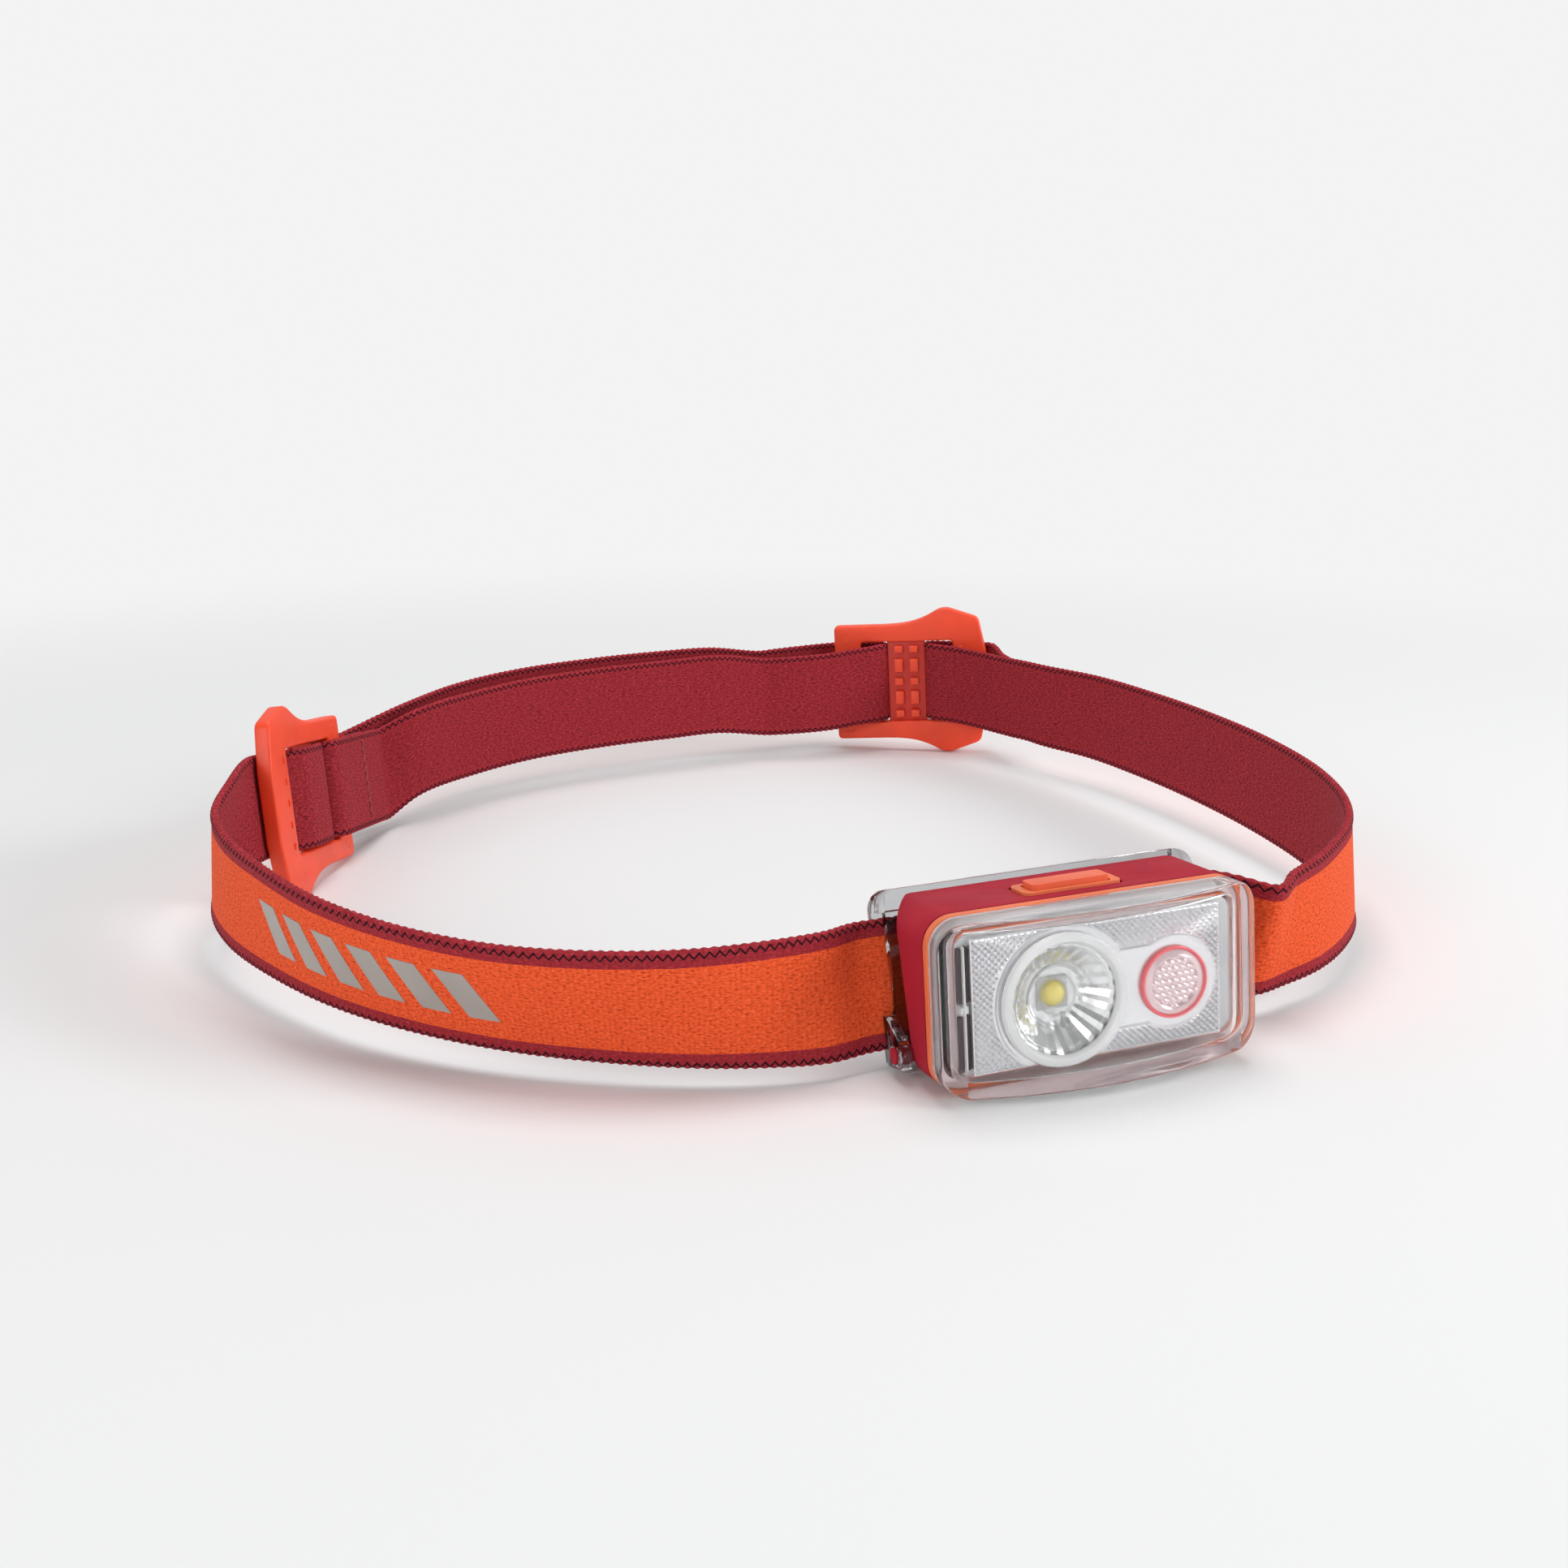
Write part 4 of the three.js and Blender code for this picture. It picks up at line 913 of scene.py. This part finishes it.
PANEL = {"low": (-20.8, -10.4), "high": (20.28, 10.01), "front": -3.1, "depth": 0.9}
PRISM = {"pitch": 1.04, "height": 0.4, "step": 0.13}
MAIN = Vector((-6.2, -0.95))  # x and z of the two lenses in the lamp's frame
SECOND = Vector((12.2, -1.15))
LENS_FRONT = -3.3  # lamp depth of the main lens's rim


def triangle_wave(t):
    """Rises from 0 to 1 and falls again over each unit."""
    return 1 - abs(2 * (t % 1) - 1)


def smooth_zone(x, z):
    """Signed distance to the plain zone round the two lenses, negative inside it."""
    point = Vector((x, z))
    bridge = max(abs(z + 1.05) - 6.0, -x, x - SECOND.x)
    return min((point - MAIN).length - 11.1, (point - SECOND).length - 7.1, bridge)


def panel_height(x, z):
    """Flat rim, plain zone with a low ridge round it, and four-sided prisms everywhere else."""
    rim, plain, ridge, ridge_half = 0.25, 0.02, 0.1, 0.33
    zone = smooth_zone(x, z)
    edge = min(x - PANEL["low"][0], PANEL["high"][0] - x, z - PANEL["low"][1], PANEL["high"][1] - z)
    if edge < rim:
        return 0.0
    if zone < 0.3:
        return plain + ridge * max(0, 1 - abs(zone + 0.02) / ridge_half)
    slopes = (triangle_wave((x + z) / PRISM["pitch"]), triangle_wave((x - z) / PRISM["pitch"]))
    return PRISM["height"] * min(slopes)


def make_panel():
    """Optic plate with its prisms, open where the two lenses stand."""

    def keep(x, z):
        point = Vector((x, z))
        return (point - MAIN).length > 9.2 and (point - SECOND).length > 4.9

    vertices, faces = relief(PANEL["low"], PANEL["high"], PRISM["step"], PANEL["front"],
                             PANEL["depth"], panel_height, keep)
    mesh = mesh_from("optic_panel", vertices, faces, LAMP)
    smooth(mesh, 8)
    add_piece("optic_panel", mesh, "lamp", ["optic_plate"], [KNURL])


def ring_about(radius, thick, y, centre, sides=56):
    """Round bar bent into a ring that faces -Y."""
    profile = [(radius + thick * math.cos(a), y + thick * math.sin(a))
               for a in (2 * math.pi * k / 10 for k in range(10))]
    return mesh_from("ring", *turned(profile, sides, centre))


def make_main_lens():
    """A faceted bright cup, with a clear stepped lens in front of it."""
    front = LENS_FRONT
    cup = [(8.9, front + 0.3), (8.1, front + 0.6), (6.9, front + 1.7), (5.6, front + 3.0),
           (4.6, front + 3.7), (0.01, front + 4.0), (0.01, front + 4.4), (4.8, front + 4.2),
           (6.0, front + 3.3), (7.5, front + 1.9), (9.0, front + 0.7)]
    cup_mesh = mesh_from("facet_cup", *turned(cup, 48, MAIN, -0.05), LAMP)
    add_piece("facet_cup", cup_mesh, "lamp", (), [MIRROR])
    swirl = MAIN + Vector((-0.45, 0.3))
    tab = block((MAIN.x + 0.5, front + 1.6, MAIN.y - 5.0), (MAIN.x + 1.1, front + 2.2, MAIN.y - 2.6), 0.12)
    steps = [ring_about(4.55, 0.24, front + 1.4, swirl), ring_about(3.0, 0.2, front + 2.0, MAIN),
             ring_about(7.75, 0.22, front + 0.1, MAIN), ring_about(5.3, 0.16, front + 1.2, MAIN), tab]
    steps_mesh = joined(steps, LAMP)
    smooth(steps_mesh, 50)
    add_piece("lens_steps", steps_mesh, "lamp", (), [LENS_CLEAR])
    lens = [(0.01, front + 1.3), (2.2, front + 1.5), (2.8, front + 1.9), (4.4, front + 1.3),
            (4.7, front + 0.9), (7.0, front + 0.3), (7.6, front + 0.2), (7.6, front + 0.6),
            (4.9, front + 1.3), (2.9, front + 2.5), (0.01, front + 2.3)]
    lens_mesh = mesh_from("main_lens_clear", *turned(lens, 64, MAIN), LAMP)
    smooth(lens_mesh, 50)
    add_piece("main_lens_clear", lens_mesh, "lamp", ["main_lens"], [WINDOW_CLEAR])


def make_second_lens():
    """Honeycomb of small domes in a broad collar."""
    pitch, radius, front = 1.12, 3.9, -3.45
    dome, dome_height, square = 0.66, 0.5, Vector((4, 4))
    centres = []
    for i in range(-5, 6):
        for k in range(-5, 6):
            centre = Vector((pitch * (i + 0.5 * (k % 2)), pitch * k * math.sqrt(3) / 2))
            if centre.length < radius:
                centres.append(centre)

    def height(x, z):
        point = Vector((x, z)) - SECOND
        near = min((point - centre).length for centre in centres)
        return dome_height * math.sqrt(max(0, 1 - (near / dome)**2))

    def keep(x, z):
        return (Vector((x, z)) - SECOND).length < radius

    vertices, faces = relief(tuple(SECOND - square), tuple(SECOND + square), 0.11, front, 1.6, height, keep)
    lens = mesh_from("honeycomb", vertices, faces)
    profile = [(3.85, front - 0.3), (4.15, front - 0.45), (4.5, front - 0.3), (5.0, front - 0.15),
               (5.0, front + 1.5), (3.85, front + 1.5)]
    collar = mesh_from("collar", *turned(profile, 64, SECOND))
    mesh = joined([lens, collar], LAMP)
    smooth(mesh, 30)
    add_piece("honeycomb_lens", mesh, "lamp", ["secondary_lens"], [LENS_PINK])


def add_lamp_parts(parts):
    """Pieces of the lamp from (name, mesh in the lamp's frame, material, nodes it stands for)."""
    for name, part, material, nodes in parts:
        mesh = joined([part], LAMP)
        smooth(mesh)
        add_piece(name, mesh, "lamp", nodes, [material])


def make_seal():
    """Orange lip of the seal, with a pale band just inside it that is a painted highlight."""
    lip = upright_plate(round_rect(52.6, 26.4, 4.5), round_rect(51.2, 25.0, 3.8), -0.2, 1.2, 0.15)
    # Pale band inside the lip: a painted highlight along the seal.
    highlight_band = upright_plate(round_rect(51.1, 24.9, 3.75), round_rect(48.2, 22, 2.4), 0.1, 1.2, 0.1)
    add_lamp_parts([("seal_lip", lip, SEAL_ORANGE, ["lens_seal"]),
                                   ("seal_painted_highlight", highlight_band, LENS_PINK, [])])


def make_red_ring():
    """Red ring round the second lens, with fine teeth."""
    front = -3.9
    profile = [(5.02, front + 0.2), (5.12, front), (5.4, front), (5.5, front + 0.2), (5.5, front + 0.6),
               (5.02, front + 0.6)]
    ring = mesh_from("red_ring", *turned(profile, 96, SECOND, 0.012))
    add_piece("red_ring", joined([ring], LAMP), "lamp", ["secondary_ring"], [RING_RED])


def make_led():
    """Domed yellow light source on its white square package."""
    front, half = LENS_FRONT, 2.5
    profile = [(0.01, front + 2.0), (0.9, front + 2.1), (1.6, front + 2.5), (2.0, front + 3.1),
               (2.1, front + 3.9), (0.01, front + 3.9)]
    dome = mesh_from("dome", *turned(profile, 40, MAIN))
    square = block((MAIN.x - half, front + 3.4, MAIN.y - half), (MAIN.x + half, front + 3.95, MAIN.y + half),
                   0.15)
    add_lamp_parts([("led_dome", dome, LED_YELLOW, ["main_led"]),
                                  ("led_package", square, PALE_FRAME, [])])


def make_frame_slots():
    """Dark blocks painted as the shade inside the frame's slots, and pale posts beside the optic plate, seen
    through the cover.
    """
    # Dark blocks where the slots are: painted shade.
    slots = [block((x, -2.6, z), (x + 0.75, -1.6, z + 8.4), 0.2)
             for x in (-22.75, -21.65) for z in (-9.6, 0.6)]
    add_piece("frame_slots", joined(slots, LAMP), "lamp", (), [SLOT_SHADE])
    posts = [block((-22.0, -3.1, -9.6), (-21.65, -1.9, 9.2), 0.15),
             block((-22.6, -3.0, -0.9), (-21.2, -2, 0.3), 0.2)]
    mesh = joined(posts, LAMP)
    smooth(mesh)
    add_piece("frame_post", mesh, "lamp", (), [FROSTED])


make_panel()
make_main_lens()
make_second_lens()
make_frame_slots()
make_seal()
make_red_ring()
make_led()

# -------------------- stage


BACKDROP = 0.9  # brightness of the studio round the object
OVERHEAD = 0.17  # its brightness high up


def make_stage():
    """A wide pale floor that pales further with distance, so that it meets the white studio unseen."""
    shader = Shader("floor", (0.9, 0.9, 0.9), 0.9, Specular_IOR_Level=0.0)
    place = shader.node("ShaderNodeTexCoord").outputs["Object"]
    distance = shader.node("ShaderNodeVectorMath", {"Vector": place}, operation="LENGTH").outputs["Value"]
    far = shader.node("ShaderNodeMapRange", {"Value": distance, "From Min": 0.14, "From Max": 0.5},
                      interpolation_type="SMOOTHSTEP").outputs["Result"]
    shader.link(shader.mix(far, (0.83, 0.835, 0.84), (0.0, 0.0, 0.0)), "Base Color")
    shader.set("Emission Color", (1, 1, 1, 1))
    shader.link(shader.math("MULTIPLY", far, BACKDROP), "Emission Strength")
    reach = 40.0
    mesh = mesh_from("floor", [(x, y, 0) for x in (-reach, reach) for y in (-reach, reach)], [(0, 1, 3, 2)])
    mesh.materials.append(shader.material)
    floor = bpy.data.objects.new("floor", mesh)
    bpy.context.scene.collection.objects.link(floor)


def area_light(name, place, target, size, watts):
    """Soft rectangular light at a place, in metres, facing a target."""
    data = bpy.data.lights.new(name, "AREA")
    data.shape = "RECTANGLE"
    data.size, data.size_y = size
    data.energy = watts
    light = bpy.data.objects.new(name, data)
    light.location = place
    light.rotation_euler = (Vector(target) - Vector(place)).to_track_quat("-Z", "Y").to_euler()
    bpy.context.scene.collection.objects.link(light)


def make_lights():
    """A white studio, dimmer high up, with soft lights above and at both sides of the front."""
    world = bpy.data.worlds.new("studio")
    bpy.context.scene.world = world
    world.use_nodes = True
    nodes = NodeTree(world.node_tree)
    background = nodes.tree.nodes["Background"]
    nodes.feed(background.inputs["Color"], (1, 1, 1, 1))
    direction = nodes.node("ShaderNodeTexCoord").outputs["Generated"]
    parts = nodes.node("ShaderNodeSeparateXYZ", {"Vector": direction})
    fades = []
    for axis, low, high in (("Z", 0.14, 0.34), ("Y", 1.6, -0.3)):
        fade = nodes.node("ShaderNodeMapRange", {"Value": parts.outputs[axis], "From Min": low,
                                                 "From Max": high}, interpolation_type="SMOOTHSTEP")
        fades.append(fade.outputs["Result"])
    above = nodes.math("MULTIPLY", *fades)
    strength = nodes.node("ShaderNodeMapRange", {"Value": above, "To Min": BACKDROP, "To Max": OVERHEAD})
    nodes.feed(background.inputs["Strength"], strength.outputs["Result"])
    area_light("overhead", (0.05, 0.1, 0.9), (0, 0, 0), (0.5, 0.5), 4.1)
    area_light("front_right", (0.78, -0.52, 0.45), (0, -0.02, 0.01), (0.4, 0.35), 4.9)
    area_light("front_left", (-0.75, -0.6, 0.45), (-0.03, -0.02, 0.01), (0.5, 0.4), 2.9)
    bpy.context.scene.view_settings.view_transform = "Standard"


make_stage()
make_lights()
